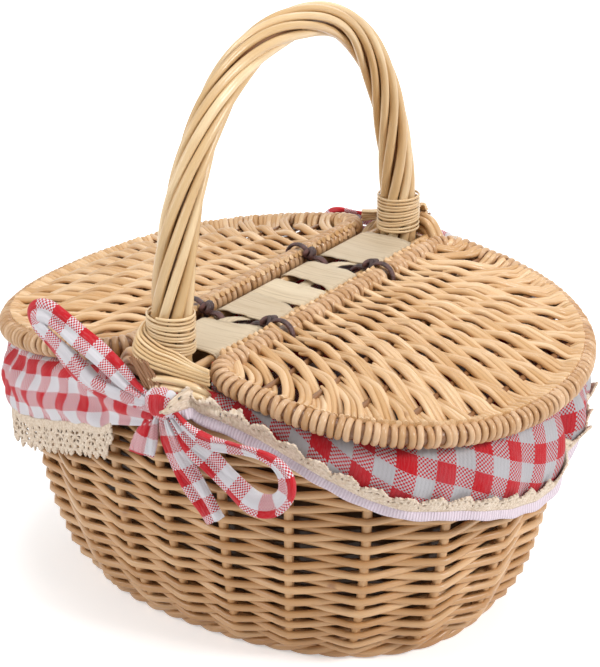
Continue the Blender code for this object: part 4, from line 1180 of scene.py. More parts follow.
class LidMaker:
    """Rods of one half lid, laid out in the lid's own frame."""

    def __init__(self, side, sizes):
        self.side = side
        self.sizes = sizes
        self.table = np.array(lid_matrix(side))
        self.chance = np.random.default_rng(21 + side)
        self.half_bar = LID_HALF_WIDTH - LID_CORNER_RADIUS
        self.weave, self.rim, self.core, self.ribs = Strands(), Strands(), Strands(), Strands()
        self.weave_rods()
        self.wrap_edges()
        self.lay_ribs()

    def placed(self, points):
        """Points of the lid's own frame, in the basket's frame."""
        return points @ self.table[:3, :3].T + self.table[:3, 3]

    def lay_ribs(self):
        for u in rib_places():
            half = float(lid_half(np.array(u), LID_BAR_RADIUS))
            v = np.linspace(-half, half, RIB_SAMPLES)
            line = np.stack([u + 0.0005 * np.sin(v * 60), v, lid_rise(u, v) - RIB_SINK], -1)
            self.ribs.add(self.placed(line), RIB_RADIUS, shade=self.chance.uniform(0.3, 1))

    def weave_rods(self):
        """Groups of three rods from the bar to the hoop, over and under the ribs."""
        count = self.sizes.lid_pair_count
        points, _, normal, _ = hoop_line(HOOP_SAMPLES)
        live = 1 - 2 * HOOP_BARE_SHARE
        for j in range(count):
            share = (j + 0.5) / count
            v = (self.half_bar + BAR_REACH) * (1 - 2 * share)
            for tie in TIE_PLACES.values():
                away = v - self.side * tie
                v = v + np.sign(away if away else 1) * TIE_PUSH * np.exp(-(away / TIE_PUSH_LENGTH) ** 2)
            for twin, offset in enumerate(GROUP_ENDS):
                along = HOOP_BARE_SHARE + live * share + offset * live / count
                at = int(round((HOOP_SAMPLES - 1) * np.clip(along, 0, 1)))
                start = np.array((ROD_START_U, v + GROUP_STARTS[twin]))
                end = points[at] - normal[at] * ROD_END_INSET
                apart = np.linalg.norm(end - start)
                push = min(1.0, apart / SHORT_ROD)
                leave = np.array((1.0, 0.0)) * apart * LEAVE_PULL * push
                arrive = normal[at] * apart * (ARRIVE_PULL[0] + ARRIVE_PULL[1] * push)
                t = np.linspace(0, 1, LID_ROD_SAMPLES)[:, None]
                self.add_rod(cubic(t, start, end, leave, arrive), j, twin)

    def add_rod(self, flat, j, twin):
        """One rod over and under the ribs; the second and third of a group start past the first ribs."""
        ribs = np.array([0.0, *rib_places(), LID_REACH])
        u, v = flat[:, 0], flat[:, 1]
        keep = np.ones(len(u), bool)
        reaches = u.max() > ribs[2] * 1.1
        if twin and reaches:
            back = self.chance.uniform(-0.6, 0.3) - 0.3 * (twin == 1)
            keep = u > ribs[twin] + (ribs[2] - ribs[1]) * back
        if keep.sum() < 8 or (twin == 2 and not reaches):
            return
        u, v = u[keep], v[keep]
        phase = np.interp(u, ribs, np.arange(len(ribs)))
        wave = weave_wave(pi * phase + (0.5 if twin == 2 else 0)) * (1 if j % 2 else -1)
        run = path_run(np.stack([u, v], -1))
        left = run[-1] - run
        radius = self.sizes.lid_rod_radius * self.chance.uniform(0.88, 1.1)
        w = lid_rise(u, v)
        w = w + self.sizes.lid_wave * wave * smooth(run / ROD_FADE) * smooth(left / ROD_FADE_HOOP)
        w = w + HOOP_CLIMB * (1 - smooth(left / ROD_FADE))
        if twin == 0:
            w = w + BAR_CLIMB * (1 - smooth(run / ROD_FADE))
        w = w + self.chance.normal(0, ROD_LIFT_SPREAD)
        thick = radius * np.interp(run, (0, TAPER_LENGTH), (0.5 if twin else 0.95, 1.0))
        line = self.placed(np.stack([u, v, w], -1))
        shade = self.chance.uniform(0, 1)
        self.weave.add(line, thick, flat=thick * LID_ROD_FLATNESS, up=self.table[:3, 2], shade=shade)

    def wrap_edges(self):
        """Rods bent round the hoop and the bar, side by side, over a core whose dark brown is painted shade
        in the gaps between them.
        """
        points, tangent, normal, length = hoop_line(WRAP_SAMPLES)
        bar = np.linspace((0, -self.half_bar, 0), (0, self.half_bar, 0), 12)
        for line in (np.concatenate([points, np.zeros((WRAP_SAMPLES, 1))], 1), bar):
            self.core.add(self.placed(line), HOOP_CORE_RADIUS, shade=0.3)
        pitch = self.sizes.rim_wrap_pitch
        count = int(length / pitch)
        for k in range(count):
            at = int((WRAP_SAMPLES - 1) * (k + 0.5) / count)
            self.add_turn(points[at], tangent[at], normal[at], 0.10, pitch)
        pairs = self.sizes.lid_pair_count
        for j in range(pairs):
            v = self.half_bar * (1 - 2 * (j + 0.5) / pairs)
            if min(abs(v - self.side * tie) for tie in TIE_PLACES.values()) >= TIE_CLEARANCE:
                place, along, out = np.array((0, v)), np.array((0, -1.0)), np.array((-1.0, 0))
                self.add_turn(place, along, out, 0.08, 2 * self.half_bar / pairs)

    def add_turn(self, middle, tangent, normal, spread, pitch):
        """One turn round the edge, leaning by chance."""
        turn = circle(WRAP_SAMPLES_ROUND)
        axis = unit(tangent + normal * self.chance.normal(0, spread))
        across = np.array((-axis[1], axis[0]))
        ring = WRAP_RING * (1 + self.chance.normal(0, 0.02))
        shift = WRAP_SHIFT * np.sin(turn + self.chance.uniform(0, 6))
        flat = middle + across * (ring * np.cos(turn))[:, None] + axis * shift[:, None]
        line = self.placed(np.stack([flat[:, 0], flat[:, 1], ring * np.sin(turn)], -1))
        up = self.table[:3, :3] @ np.array((*axis, 0.0))
        width = pitch * self.chance.uniform(0.415, 0.465)
        shade = self.chance.uniform(0.0, 1.0)
        self.rim.add(line, WRAP_HALF_THICK, flat=width, up=up, closed=True, shade=shade)


class BASKET_OT_lids(bpy.types.Operator):
    """Weave both half lids and wrap their hoops"""

    bl_idname = "basket.lids"
    bl_label = "Lids"

    def execute(self, context):
        sizes, colours = context.scene.willow_sizes, context.scene.finish_colours
        wood = willow("willow_lid", colours.lid_wood)
        # The hoop's wraps are darker than the lid's rods: partly their own tone, partly painted shade of the
        # gaps among them
        wrapping = willow("willow_lid_rim", warm(colours.lid_wood, 0.84, 0.79, 0.79)[:3])
        # Ribs and cores in dark brown: painted shade, where they show between the rods and under them
        dark = willow("willow_lid_ribs", warm(colours.body_wood, 0.42, 0.33, 0.27)[:3], 0.45)
        for name, side in (("left", -1), ("right", 1)):
            body, lid = "lid_" + name, LidMaker(side, sizes)
            ribs = ["%s_rib_%d" % (body, k + 1) for k in range(len(LID_RIB_SHARES))]
            parts = (("weave", lid.weave, wood, [body + "_weave"]),
                     ("rim", lid.rim, wrapping, [body + "_hoop", body + "_bar"]),
                     ("core", lid.core, dark, []), ("ribs", lid.ribs, dark, ribs))
            for key, strands, paint, nodes in parts:
                strands.place("willow_%s_%s" % (body, key), paint, "willow_lid", nodes, body)
        return {"FINISHED"}


# Liner: the bag

BAG_DENT = 0.0265
BAG_DENT_WIDTH = 0.021
BAG_LEG_Z = 0.1211
BAG_COLUMNS = 240
BAG_ROWS = 44
BAG_INSET = WALL_THICK + 0.0055
BAG_MIDDLE_Z = 0.09
BAG_LOW_Z = 0.0088
BAG_TOP_SINK = 0.001
# Near its top the bag comes out to meet the skirts
BAG_TOP_OUT = 0.0031
BAG_TOP_SHARES = (0.82, 0.98)
BAG_SAG = 0.0010
FLOOR_CLOTH_INSET = WALL_THICK + 0.0030
FLOOR_CLOTH_Z = 0.0089
FLOOR_CLOTH_WAVE = 0.0005


def bag_place(angle, z, inset):
    """Lining inside the wall, drawn in where the handle's legs go down."""
    point = wall_place(angle, z, inset)
    near_leg = smooth((z - BAG_LEG_Z / 2) / (BAG_LEG_Z / 2 - 2 * WALL_THICK))
    dent = BAG_DENT * near_leg * np.exp(-(np.abs(point[..., 0]) / BAG_DENT_WIDTH) ** 4)
    point[..., 1] -= np.sign(point[..., 1]) * dent
    return point


class BASKET_OT_liner(bpy.types.Operator):
    """Hang the gingham bag in the basket and fold its skirts over the border"""

    bl_idname = "basket.liner"
    bl_label = "Liner"

    def execute(self, context):
        cloth, colours = context.scene.cloth_sizes, context.scene.finish_colours
        inside = gingham("gingham_bag", colours.red, colours.white, cloth.check, cloth.thread)
        # Outer face of the bag: dark brown painted shade behind the wall's gaps
        shade_lining = willow("bag_painted_shade", GAP_SHADE_BROWN, 0.8, 0.0)
        self.hang_bag(cloth, inside, shade_lining)
        self.lay_floor(cloth, inside)
        self.fold_skirts(cloth, colours)
        return {"FINISHED"}

    def hang_bag(self, cloth, material, shade_lining):
        """The bag's side: gingham inside, and outside a plain dark brown that is painted shade, seen through
        the gaps of the wall.
        """
        angle = circle(BAG_COLUMNS)
        level = np.linspace(0, 1, BAG_ROWS)
        middle = wall_place(angle, np.full(BAG_COLUMNS, BAG_MIDDLE_Z), BAG_INSET)
        start, end = BAG_TOP_SHARES
        inset = BAG_INSET - BAG_TOP_OUT * smooth((level - start) / (end - start))
        top = border_z(middle[:, 0]) - BAG_TOP_SINK
        z = BAG_LOW_Z + (top - BAG_LOW_Z)[:, None] * level
        grid = np.zeros((BAG_COLUMNS, BAG_ROWS, 3))
        for row in range(BAG_ROWS):
            wall = wall_top(wall_place(angle, z[:, row], BAG_INSET)[:, 0])
            grid[:, row] = bag_place(angle, np.minimum(z[:, row], wall), inset[row])
            grid[:, row, 2] = z[:, row]
        sag = BAG_SAG * np.abs(np.sin(angle * 17 + 1.0) * np.sin(angle * 5))
        grid[..., :2] -= unit(grid[..., :2]) * (sag[:, None] * np.sin(pi * level))[..., None]
        around = path_run(np.vstack([middle, middle[:1]]))[:-1]
        height = path_run(np.swapaxes(grid, 0, 1)).T
        fields = {"cloth": np.stack([np.broadcast_to(around[:, None], z.shape), height, 0 * z], -1)}
        piece = surface("liner_bag_side", grid, fields, shade_lining, cloth.cloth_thick, wrap=True)
        piece.data.materials.append(material)
        piece.modifiers["thickness"].material_offset = 1
        piece.modifiers["thickness"].material_offset_rim = 1
        place_piece(piece, ["liner_bag"])

    def lay_floor(self, cloth, material):
        angle = circle(120)
        share = np.linspace(1, 0.012, 16)
        half_x, half_y = BASE_HALF_X - FLOOR_CLOTH_INSET, BASE_HALF_Y - FLOOR_CLOTH_INSET
        x, y = plan(angle[:, None], half_x * share, half_y * share, 0)
        z = FLOOR_CLOTH_Z + FLOOR_CLOTH_WAVE * np.sin(x * 90) * np.sin(y * 70) * (1 - share)
        fields = {"cloth": np.stack([x, y, 0 * x], -1)}
        grid = np.stack([x, y, z], -1)
        piece = surface("liner_bag_floor", grid, fields, material, cloth.cloth_thick, wrap=True)
        place_piece(piece, ["liner_bag"])

    def fold_skirts(self, cloth, colours):
        for name, side in (("left", -1), ("right", 1)):
            # The right skirt's darker red and white are painted shadow of the lid
            check, thread, deep, white_shadow_share = SKIRT_CLOTH[name]
            red, white = tone(colours.red, deep)[:3], tone(colours.white, white_shadow_share)[:3]
            check, thread = cloth.check * check, cloth.thread * thread
            material = gingham("gingham_skirt_" + name, red, white, check, thread)
            grid, fields, flat, hem = skirt_grid(name, side, cloth)
            skirt = surface("skirt_" + name, grid, fields, material, cloth.cloth_thick)
            place_piece(skirt, ["liner_skirt_" + name])
            if side < 0:
                hang_lace(hem, cloth, colours)
                sewn = []
            else:
                turn_lace(hem, cloth, colours)
                sewn = [sew_hem(hem, colours)]


# Liner: the skirts

# Each skirt's check and thread, its red and its white, as shares of the cloth's own; the right skirt's red
# and white are darkened as painted shadow of the lid over it
SKIRT_CLOTH = {"left": (0.86, 1.0, 1.0, 1.0), "right": (1.0, 1.35, 0.90, 0.64)}
SKIRT_START_X = 0.025
SKIRT_FLARE = 0.004
SKIRT_COLUMNS = 420
SKIRT_HANG = WALE_OFFSET + WALE_RADIUS + 0.0009
# How far each skirt hangs below the border: at the bow and at the basket's end
SKIRT_DROPS = {"left": (0.024, 0.034), "right": (0.0006, 0.0255)}
SKIRT_GROWTH = {"left": 1.0, "right": 1.6}
# The right skirt sags most at this plan angle, and rises again behind it
SAG = 0.0115
SAG_ANGLE = -0.07
SAG_WIDTHS = (0.28, 0.19)
RISE_SHARE = 0.22
RISE_ANGLE = -0.02
RISE_WIDTH = 0.22
# The cloth over the border: its half width and height, and its turn at the middle and at the ends
OVER_HALF_WIDTH = 0.0054
OVER_HEIGHT = 0.0074
OVER_TURN_DEG = 118
OVER_TUCK_DEG = 100
OVER_TUCK_LENGTH = 0.024
OVER_POINTS = 9
HANG_POINTS = 26
PUFF_NORM = 0.009
# Pull of the cloth below the border: out and up at its start, out at its middle
PUFF_START = (0.0045, 0.0085, 0.0066, 0.001)
PUFF_MIDDLE = 0.0075
PUFF_MIDDLE_SHARE = 0.58
CHECK_TURN_DEG = {"left": 0.0, "right": 14.0}
HEM_STEP_BACK = 4
DRAWN_SPREAD = {"left": (0.0035, -0.0125), "right": (0.0050, -0.0035)}
DRAWN_ROWS = 30
DRAWN_PLEATS = 4.2
DRAWN_PLEAT_HEIGHT = 0.0021
DRAWN_HUMP = 0.0012
DRAWN_DEPTH = 0.0004
# Left skirt: swags and tucks, each a height and a length
SWAG = (0.0024, 0.075)
SWAG_FADE = 0.06
TUCK = (0.0013, 0.0170)
TUCK_SLANT = 0.012
# Right skirt: soft waves, each a height, a length and a phase; folds, by plan angle, width and depth
SOFT_WAVES = ((0.0007, 0.047, 0.8), (0.0004, 0.019, 0.0))
FOLDS = ((0.36, 0.035, -0.0042), (0.46, 0.05, 0.0034), (0.56, 0.035, -0.0038), (-1.18, 0.03, -0.0022),
         (0.10, 0.032, -0.0058), (0.19, 0.040, 0.0050))


def skirt_line(name, side):
    """Evenly spaced plan angles along a skirt, their distances, and the drop of its hem at each."""
    near, far = SKIRT_DROPS[name]
    angle = np.linspace(-pi / 2, pi / 2, 2000) + (0 if side > 0 else pi)
    angle = angle[side * rim_place(angle, 0.0, 0.0)[:, 0] >= SKIRT_START_X]
    run = path_run(rim_place(angle, 0.0, 0.0))
    even = np.linspace(0, run[-1], SKIRT_COLUMNS)
    angle = np.interp(even, run, angle)
    reach = np.abs(rim_place(angle, 0.0, 0.0)[:, 0]) - SKIRT_START_X
    drop = near + (far - near) * smooth(reach / (RIM_HALF_X - 2 * SKIRT_START_X)) ** SKIRT_GROWTH[name]
    if side > 0:
        before, behind = SAG_WIDTHS
        drop = drop + SAG * np.exp(-((angle - SAG_ANGLE) / np.where(angle > SAG_ANGLE, behind, before)) ** 2)
        drop = drop * (1 - RISE_SHARE * smooth((angle - RISE_ANGLE) / RISE_WIDTH))
    return angle, even, drop, np.minimum(drop / far, 1.0)[:, None]


def skirt_section(run, drop, full, puff, t):
    """Offsets and rises of the cloth: over the border, and then down to the hem."""
    ends = 1 - smooth(np.minimum(run, run[-1] - run) / OVER_TUCK_LENGTH)[:, None]
    tuck = OVER_TUCK_DEG * ends
    over = np.radians(180 - tuck - (OVER_TURN_DEG - tuck) * np.linspace(0, 1, OVER_POINTS))
    over_out, over_up = OVER_HALF_WIDTH * np.cos(over), OVER_HEIGHT * np.sin(over)
    out, more, up, less = PUFF_START
    middle = SKIRT_HANG + (SKIRT_FLARE + PUFF_MIDDLE * puff) * full
    outs = over_out[:, -1:], out + more * full * puff, middle, SKIRT_HANG + SKIRT_FLARE * full
    ups = (over_up[:, -1:], up - less * full, -PUFF_MIDDLE_SHARE * drop[:, None], -drop[:, None])
    shares = (1 - t) ** 3, 3 * t * (1 - t) ** 2, 3 * t ** 2 * (1 - t), t ** 3
    hang_out = sum(share * value for share, value in zip(shares, outs))
    hang_up = sum(share * value for share, value in zip(shares, ups))
    return np.concatenate([over_out, hang_out], 1), np.concatenate([over_up, hang_up], 1)


def skirt_grid(name, side, cloth):
    """Points of a skirt, over the border and down to its hem, drawn in to both bows."""
    angle, run, drop, full = skirt_line(name, side)
    t = np.linspace(0, 1, HANG_POINTS)[1:]
    offset, rise = skirt_section(run, drop, full, cloth.puff / PUFF_NORM, t)
    folds = gathers(name, angle, run, t) * full
    folds = np.concatenate([np.zeros((SKIRT_COLUMNS, OVER_POINTS)), folds], 1)
    z = border_z(rim_place(angle, 0.0, 0.0)[:, 0])[:, None] + rise
    smooth_x, smooth_y = plan(angle[:, None], RIM_HALF_X + offset, RIM_HALF_Y + offset)
    x, y = plan(angle[:, None], RIM_HALF_X + offset + folds, RIM_HALF_Y + offset + folds)
    grid = np.stack([x, y, z], -1)
    down = path_run(np.swapaxes(np.stack([smooth_x, smooth_y, z], -1), 0, 1)).T
    height = down[:, -1:] - down
    first, last = draw_to_knot(grid[:2][::-1], side), draw_to_knot(grid[-2:], side)
    grid = np.concatenate([first[::-1], grid, last])
    spare = [np.repeat(row, len(first), 0) for row in (height[:1], height[-1:])]
    height = np.concatenate([spare[0], height, spare[1]])
    along = path_run(grid[:, -6])
    u = np.broadcast_to(along[:, None], height.shape)
    turn = radians(CHECK_TURN_DEG[name])
    turned = u * cos(turn) - height * sin(turn), height * cos(turn) + u * sin(turn), 0 * u
    line = grid[:, -1]
    hem = {"line": line, "before": grid[:, -HEM_STEP_BACK], "run": path_run(line), "bare": len(first)}
    return grid, {"cloth": np.stack(turned, -1)}, (float(along[-1]), float(height[:, 0].mean())), hem


def draw_to_knot(rows, side):
    """Rows of cloth drawn from a skirt's end into the bow's knot, in gathered folds."""
    before, end = rows
    depth = np.sign(end[0, 1])
    share = np.linspace(0, 1, len(end))[:, None]
    x, y, z = KNOT_PLACE
    knot = np.array((x + side * KNOT_RADII[0] * 0.55, -depth * (y - DRAWN_DEPTH), z))
    high, low = DRAWN_SPREAD["left" if side < 0 else "right"]
    target = knot + Z * (high + (low - high) * share)
    reach = target - end
    leave = unit(end - before) * np.linalg.norm(reach, axis=-1, keepdims=True) * 0.7
    made = []
    for e in np.linspace(0, 1, DRAWN_ROWS)[1:]:
        pleats = 0.5 + 0.5 * np.sin(2 * pi * DRAWN_PLEATS * share + 1.7 * e + side)
        out = DRAWN_PLEAT_HEIGHT * smooth(e / 0.6) * (1 - 0.35 * e) * pleats
        out = out + DRAWN_HUMP * np.sin(pi * e)
        made.append(cubic(e, end, target, leave, reach * 0.9) + Y * depth * out)
    return np.array(made)


def gathers(name, angle, run, t):
    """How far the folds of a skirt stand in or out, at each line and depth."""
    level = np.sin(pi * np.clip(t * 0.9 + 0.05, 0, 1)) ** 0.7
    hem = t ** 2
    if name == "left":
        near = np.minimum(run, run[-1] - run)[:, None]
        strength = 0.35 + 0.65 * np.exp(-near / SWAG_FADE)
        height, length = SWAG
        swags = height * np.sin(2 * pi * (2.3 * t + near / length) + 0.8 * np.sin(near * 60)) * strength
        height, length = TUCK
        tucks = height * np.sin((near + TUCK_SLANT * t) * 2 * pi / length + 1.2 * np.sin(near * 25))
        return (swags + tucks) * (0.85 * level + 0.30 * hem)
    level = level * smooth(t / 0.25)
    soft = sum(height * np.sin(run * 2 * pi / length + phase) for height, length, phase in SOFT_WAVES)
    value = soft[:, None] * (level + 0.6 * hem)
    for place, width, depth in FOLDS:
        value = value + depth * np.exp(-((angle - place) / width) ** 2)[:, None] * (level + 0.25 * hem)
    return value


# Liner: lace and hem

LACE_LEFT_LENGTH = 0.0205
LACE_LEFT_THICK = 0.0009
LACE_LEFT_OUT = 0.0006
LACE_LEFT_UP = 0.0012
LACE_LEFT_WAVE = (0.0009, 0.0165)
LACE_LEFT_LEAN = 0.0016
LACE_FADE_LENGTH = 0.011
BARE_ROWS_KEPT = 6
FLOWER_PITCH = 0.0135
FLOWER_PLACE = 0.0085
FLOWER_RADIUS = 0.0027
PETAL_HALF_LENGTH = 0.0011
EYELET_PLACES = (0.0055, 0.0115)
EYELET_RADIUS = 0.0008
TOOTH_PITCH = 0.0052
TOOTH_DEPTH = 0.0042
TOOTH_HOLE_RISE = 0.0018
TOOTH_HOLE_HALF = 0.0006
LACE_RIGHT_HEIGHT = 0.014
LACE_RIGHT_THICK = 0.0012
# Lean of the turned-up lace away from the skirt: at its foot, more at its top, and in waves
LACE_RIGHT_LEAN = (0.0016, 0.0013, 0.0008)
LACE_RIGHT_WAVE_LENGTH = 0.014
# Pleats at the lace's ends: where they fade, over what length, how far they stand out
CRUMPLE_END = 0.030
CRUMPLE_FADE = 0.024
CRUMPLE_OUT = 0.0012
# Behind this share of its length the lace lies closer to the cloth
CLOSE_SHARE = 0.54
CLOSE_FADE = 0.08
SHELL_PITCH = 0.0150
SHELL_LOW = 0.0052
SHELL_HEIGHT = 0.0052
SHELL_TEETH = (0.0008, 0.0042)
SHELL_HOLE_SINK = 0.0026
SHELL_HOLE_HALF = 0.0005
SHELL_HOLE_PITCH = 0.0030
SHELL_HOLE_START = 0.0018
HEM_DROP = 0.0016
HEM_HALF_WIDTH = 0.0043
HEM_HALF_THICK = 0.0012
HEM_UNEVEN = 0.0003


def lace_mesh(side, places, steps, grid, keep, material, thick):
    """A net of lace from a grid of cells, of which some are kept."""
    flat = np.stack([*np.meshgrid(places, steps, indexing="ij"), np.zeros((len(places), len(steps)))], -1)
    piece = surface("crochet_lace_" + side, grid, {"cloth": flat}, material, thick, keep=keep)
    return place_piece(piece, ["lace_" + side])


def cell_middles(places, steps, cell):
    return np.meshgrid(places[:-1] + cell / 2, steps[:-1] + cell / 2, indexing="ij")


def hang_lace(hem, cloth, colours):
    """Crochet lace below the left skirt: flowers of holes and a toothed lower edge."""
    cell = cloth.lace_cell
    bare = hem["bare"] - BARE_ROWS_KEPT
    run = np.arange(hem["run"][bare], hem["run"][-1 - bare], cell)
    top = follow(run, hem["run"], hem["line"])
    down = np.arange(int(LACE_LEFT_LENGTH / cell) + 1) * cell
    level = down / LACE_LEFT_LENGTH
    outward = unit(top * (1, 1, 0))
    height, length = LACE_LEFT_WAVE
    wave = height * np.sin(run * 2 * pi / length + 1.2 * np.sin(run * 21))[:, None] * (0.4 + level)
    out = wave - LACE_LEFT_LEAN * level ** 1.3 + LACE_LEFT_OUT
    grid = top[:, None] + outward[:, None] * out[..., None] - Z * (down - LACE_LEFT_UP)[None, :, None]
    u, v = cell_middles(run, down, cell)
    spent = smooth(np.minimum(u - u.min(), u.max() - u) / LACE_FADE_LENGTH)
    keep = lace_cells(u, v / (0.55 + 0.45 * spent), LACE_LEFT_LENGTH)
    cotton = crochet("lace_cotton", colours.lace)
    piece = lace_mesh("left", run, down, grid, keep, cotton, LACE_LEFT_THICK)


def lace_cells(u, v, length):
    """Which cells of the lace are thread: flowers of holes, small eyelets and pointed teeth."""
    across = u % FLOWER_PITCH - FLOWER_PITCH / 2
    flower, petal = np.hypot(across, v - FLOWER_PLACE), np.arctan2(v - FLOWER_PLACE, across)
    holes = (np.abs(flower - FLOWER_RADIUS) < PETAL_HALF_LENGTH) & (np.cos(petal * 6) > 0.1)
    beside = (u + FLOWER_PITCH / 2) % FLOWER_PITCH - FLOWER_PITCH / 2
    for place in EYELET_PLACES:
        holes |= np.hypot(beside, v - place) < EYELET_RADIUS
    tooth = np.abs((u / TOOTH_PITCH) % 1 - 0.5) * 2
    row = length - TOOTH_DEPTH - TOOTH_HOLE_RISE
    holes |= (np.abs(v - row) < TOOTH_HOLE_HALF) & (tooth < 0.35)
    return (v < length - TOOTH_DEPTH * tooth) & ~holes


def shell_cells(u, v):
    """Which cells of the turned-up lace are thread: pointed shells with a row of holes."""
    shell = (u / SHELL_PITCH) % 1
    height, pitch = SHELL_TEETH
    edge = SHELL_LOW + SHELL_HEIGHT * np.minimum(shell * 1.5, (1 - shell) * 3.0) ** 0.8
    edge = edge + height * np.abs(np.sin(pi * u / pitch))
    row = np.abs(v - (edge - SHELL_HOLE_SINK)) < SHELL_HOLE_HALF
    return (v < edge) & ~(row & ((u % SHELL_HOLE_PITCH) > SHELL_HOLE_START))


def turn_lace(hem, cloth, colours):
    """Lace sewn to the right skirt's hem and turned up over it, scalloped."""
    cell = cloth.lace_cell
    run = np.arange(0, hem["run"][-1], cell)
    up = np.arange(int(LACE_RIGHT_HEIGHT / cell) + 1) * cell
    low, before = (follow(run, hem["run"], hem[key]) for key in ("line", "before"))
    level = up / LACE_RIGHT_HEIGHT
    foot, more, wave = LACE_RIGHT_LEAN
    lean = foot + more * level + wave * np.sin(run * 2 * pi / LACE_RIGHT_WAVE_LENGTH)[:, None] * level
    crumple = 1 - smooth((np.minimum(run, run[-1] - run) - CRUMPLE_END) / CRUMPLE_FADE)
    uneven = 1.3 * np.sin(run * 170) + 0.6 * np.sin(run * 420)
    pleats = np.sin(2 * pi * 2.3 * level + uneven[:, None])
    lean = lean + crumple[:, None] * CRUMPLE_OUT * (1 + pleats) * smooth(level * 3)
    lean = lean * (1 - 0.55 * smooth((run / run[-1] - CLOSE_SHARE) / CLOSE_FADE))[:, None]
    outward, rising = unit(low * (1, 1, 0)), unit(before - low)
    grid = low[:, None] + outward[:, None] * lean[..., None] + rising[:, None] * up[None, :, None]
    keep = shell_cells(*cell_middles(run, up, cell))
    cotton = crochet("lace_cotton_turned", colours.lace)
    piece = lace_mesh("right", run, up, grid, keep, cotton, LACE_RIGHT_THICK)


def sew_hem(hem, colours):
    """Overlocked edge of the turned-up hem."""
    down = unit(hem["line"] - hem["before"])
    outward = unit(hem["line"] * (1, 1, 0))
    band = Strands()
    width = HEM_HALF_WIDTH + HEM_UNEVEN * np.sin(hem["run"] * 330)
    path = hem["line"] + (down + outward) * HEM_DROP
    band.add(path, HEM_HALF_THICK, flat=width, up=-(down * 0.85 + outward * 0.5), sides=14)
    return band.place("sewn_hem_right", overlocked("hem_stitches", colours.hem), "lace", ["hem_right"])


# Bows

KNOT_RADII = (0.0085, 0.0045, 0.008)
# Middle lines of the bow's ribbons, across and up from the knot's middle
LOOP_LINES = {
    "front_left": ((-0.0080, 0.0005), (-0.0195, 0.0052), (-0.0305, 0.0135), (-0.0400, 0.0200),
                   (-0.0500, 0.0248), (-0.0600, 0.0296), (-0.0700, 0.0328), (-0.0778, 0.0300),
                   (-0.0765, 0.0235), (-0.0685, 0.0168), (-0.0598, 0.0104), (-0.0522, 0.0045),
                   (-0.0435, -0.0010), (-0.0326, -0.0040), (-0.0210, -0.0048), (-0.0085, -0.0030)),
    "front_right": ((0.0065, -0.0030), (0.0165, -0.0118), (0.0270, -0.0154), (0.0410, -0.0144),
                    (0.0545, -0.0140), (0.0645, -0.0164), (0.0703, -0.0226), (0.0698, -0.0318),
                    (0.0622, -0.0392), (0.0510, -0.0408), (0.0380, -0.0340), (0.0265, -0.0252),
                    (0.0155, -0.0165), (0.0060, -0.0065)),
    "rear_left": ((-0.008, 0.0020), (-0.030, 0.0060), (-0.052, 0.0065), (-0.072, 0.0030),
                  (-0.0755, -0.0035), (-0.068, -0.0085), (-0.048, -0.0085), (-0.026, -0.0060),
                  (-0.008, -0.0028)),
}
LOOP_LINES["rear_right"] = LOOP_LINES["front_right"]
LOOP_STAND = {"left": -0.0027, "right": 0.0031}
# Share of the ribbon's width that shows on a loop's first and second strand
LOOP_FULLNESS = {"left": (1.10, 1.45), "right": (0.66, 1.12)}
LOOP_CONE_DEG = 66.0
TAIL_REACHES = {"long": (0.0273, 0.0036, -0.0595), "short": (-0.0100, -0.0045, -0.0290)}
TAIL_ROOTS_DEG = {"long": -82.0, "short": -126.0}
# Each ribbon's phase of creases, and how far its edges roll under
RIBBON_PHASES = {"loop_left": 0.4, "loop_right": 2.1, "tail_long": 1.3, "tail_short": 3.0}
RIBBON_CURL_DEG = {"loop": 150, "tail": 62}
RIBBON_CHECK_SHARE = 0.86
RIBBON_POINTS = 33
RIBBON_PLEAT = 0.0014
RIBBON_CREASES = (0.0009, 0.0013)
RIBBON_SWAY = 0.0008
RIBBON_CLOTH_HALF = 0.00775
# Length over which a ribbon widens from its pinched end, and its width there
PINCH_LENGTH = 0.022
PINCH_SHARE = 0.38
KNOT_CLOTH_THICK = 0.0006
KNOT_CLOTH_OUT = 0.0004
# Half the knot's width and the length of its turn on the cloth, and where the cloth starts
KNOT_CLOTH_SCALE = (0.0081, 0.0055)
KNOT_CLOTH_START = (0.0134, -0.0039)


def knot_reach(direction):
    """Distance from the knot's middle to its face."""
    return sum((part / radius) ** 2 for part, radius in zip(direction, KNOT_RADII)) ** -0.5


def pinched_width(run, cloth):
    """Width of the ribbon at distances from its pinched end."""
    return cloth.ribbon_width * (PINCH_SHARE + (1 - PINCH_SHARE) * smooth(run / PINCH_LENGTH))


def rolled_section(across, curl):
    """A ribbon's cross section, its edges rolled under: how wide and how deep it lies."""
    step = across[1] - across[0]
    roll = radians(curl) * smooth((np.abs(across) - 0.40) / 0.60)
    wide = np.cumsum(np.cos(roll) * step)
    deep = np.cumsum(np.sin(roll) * np.sign(across) * step)
    return wide - wide.mean(), np.abs(deep - deep[len(across) // 2])


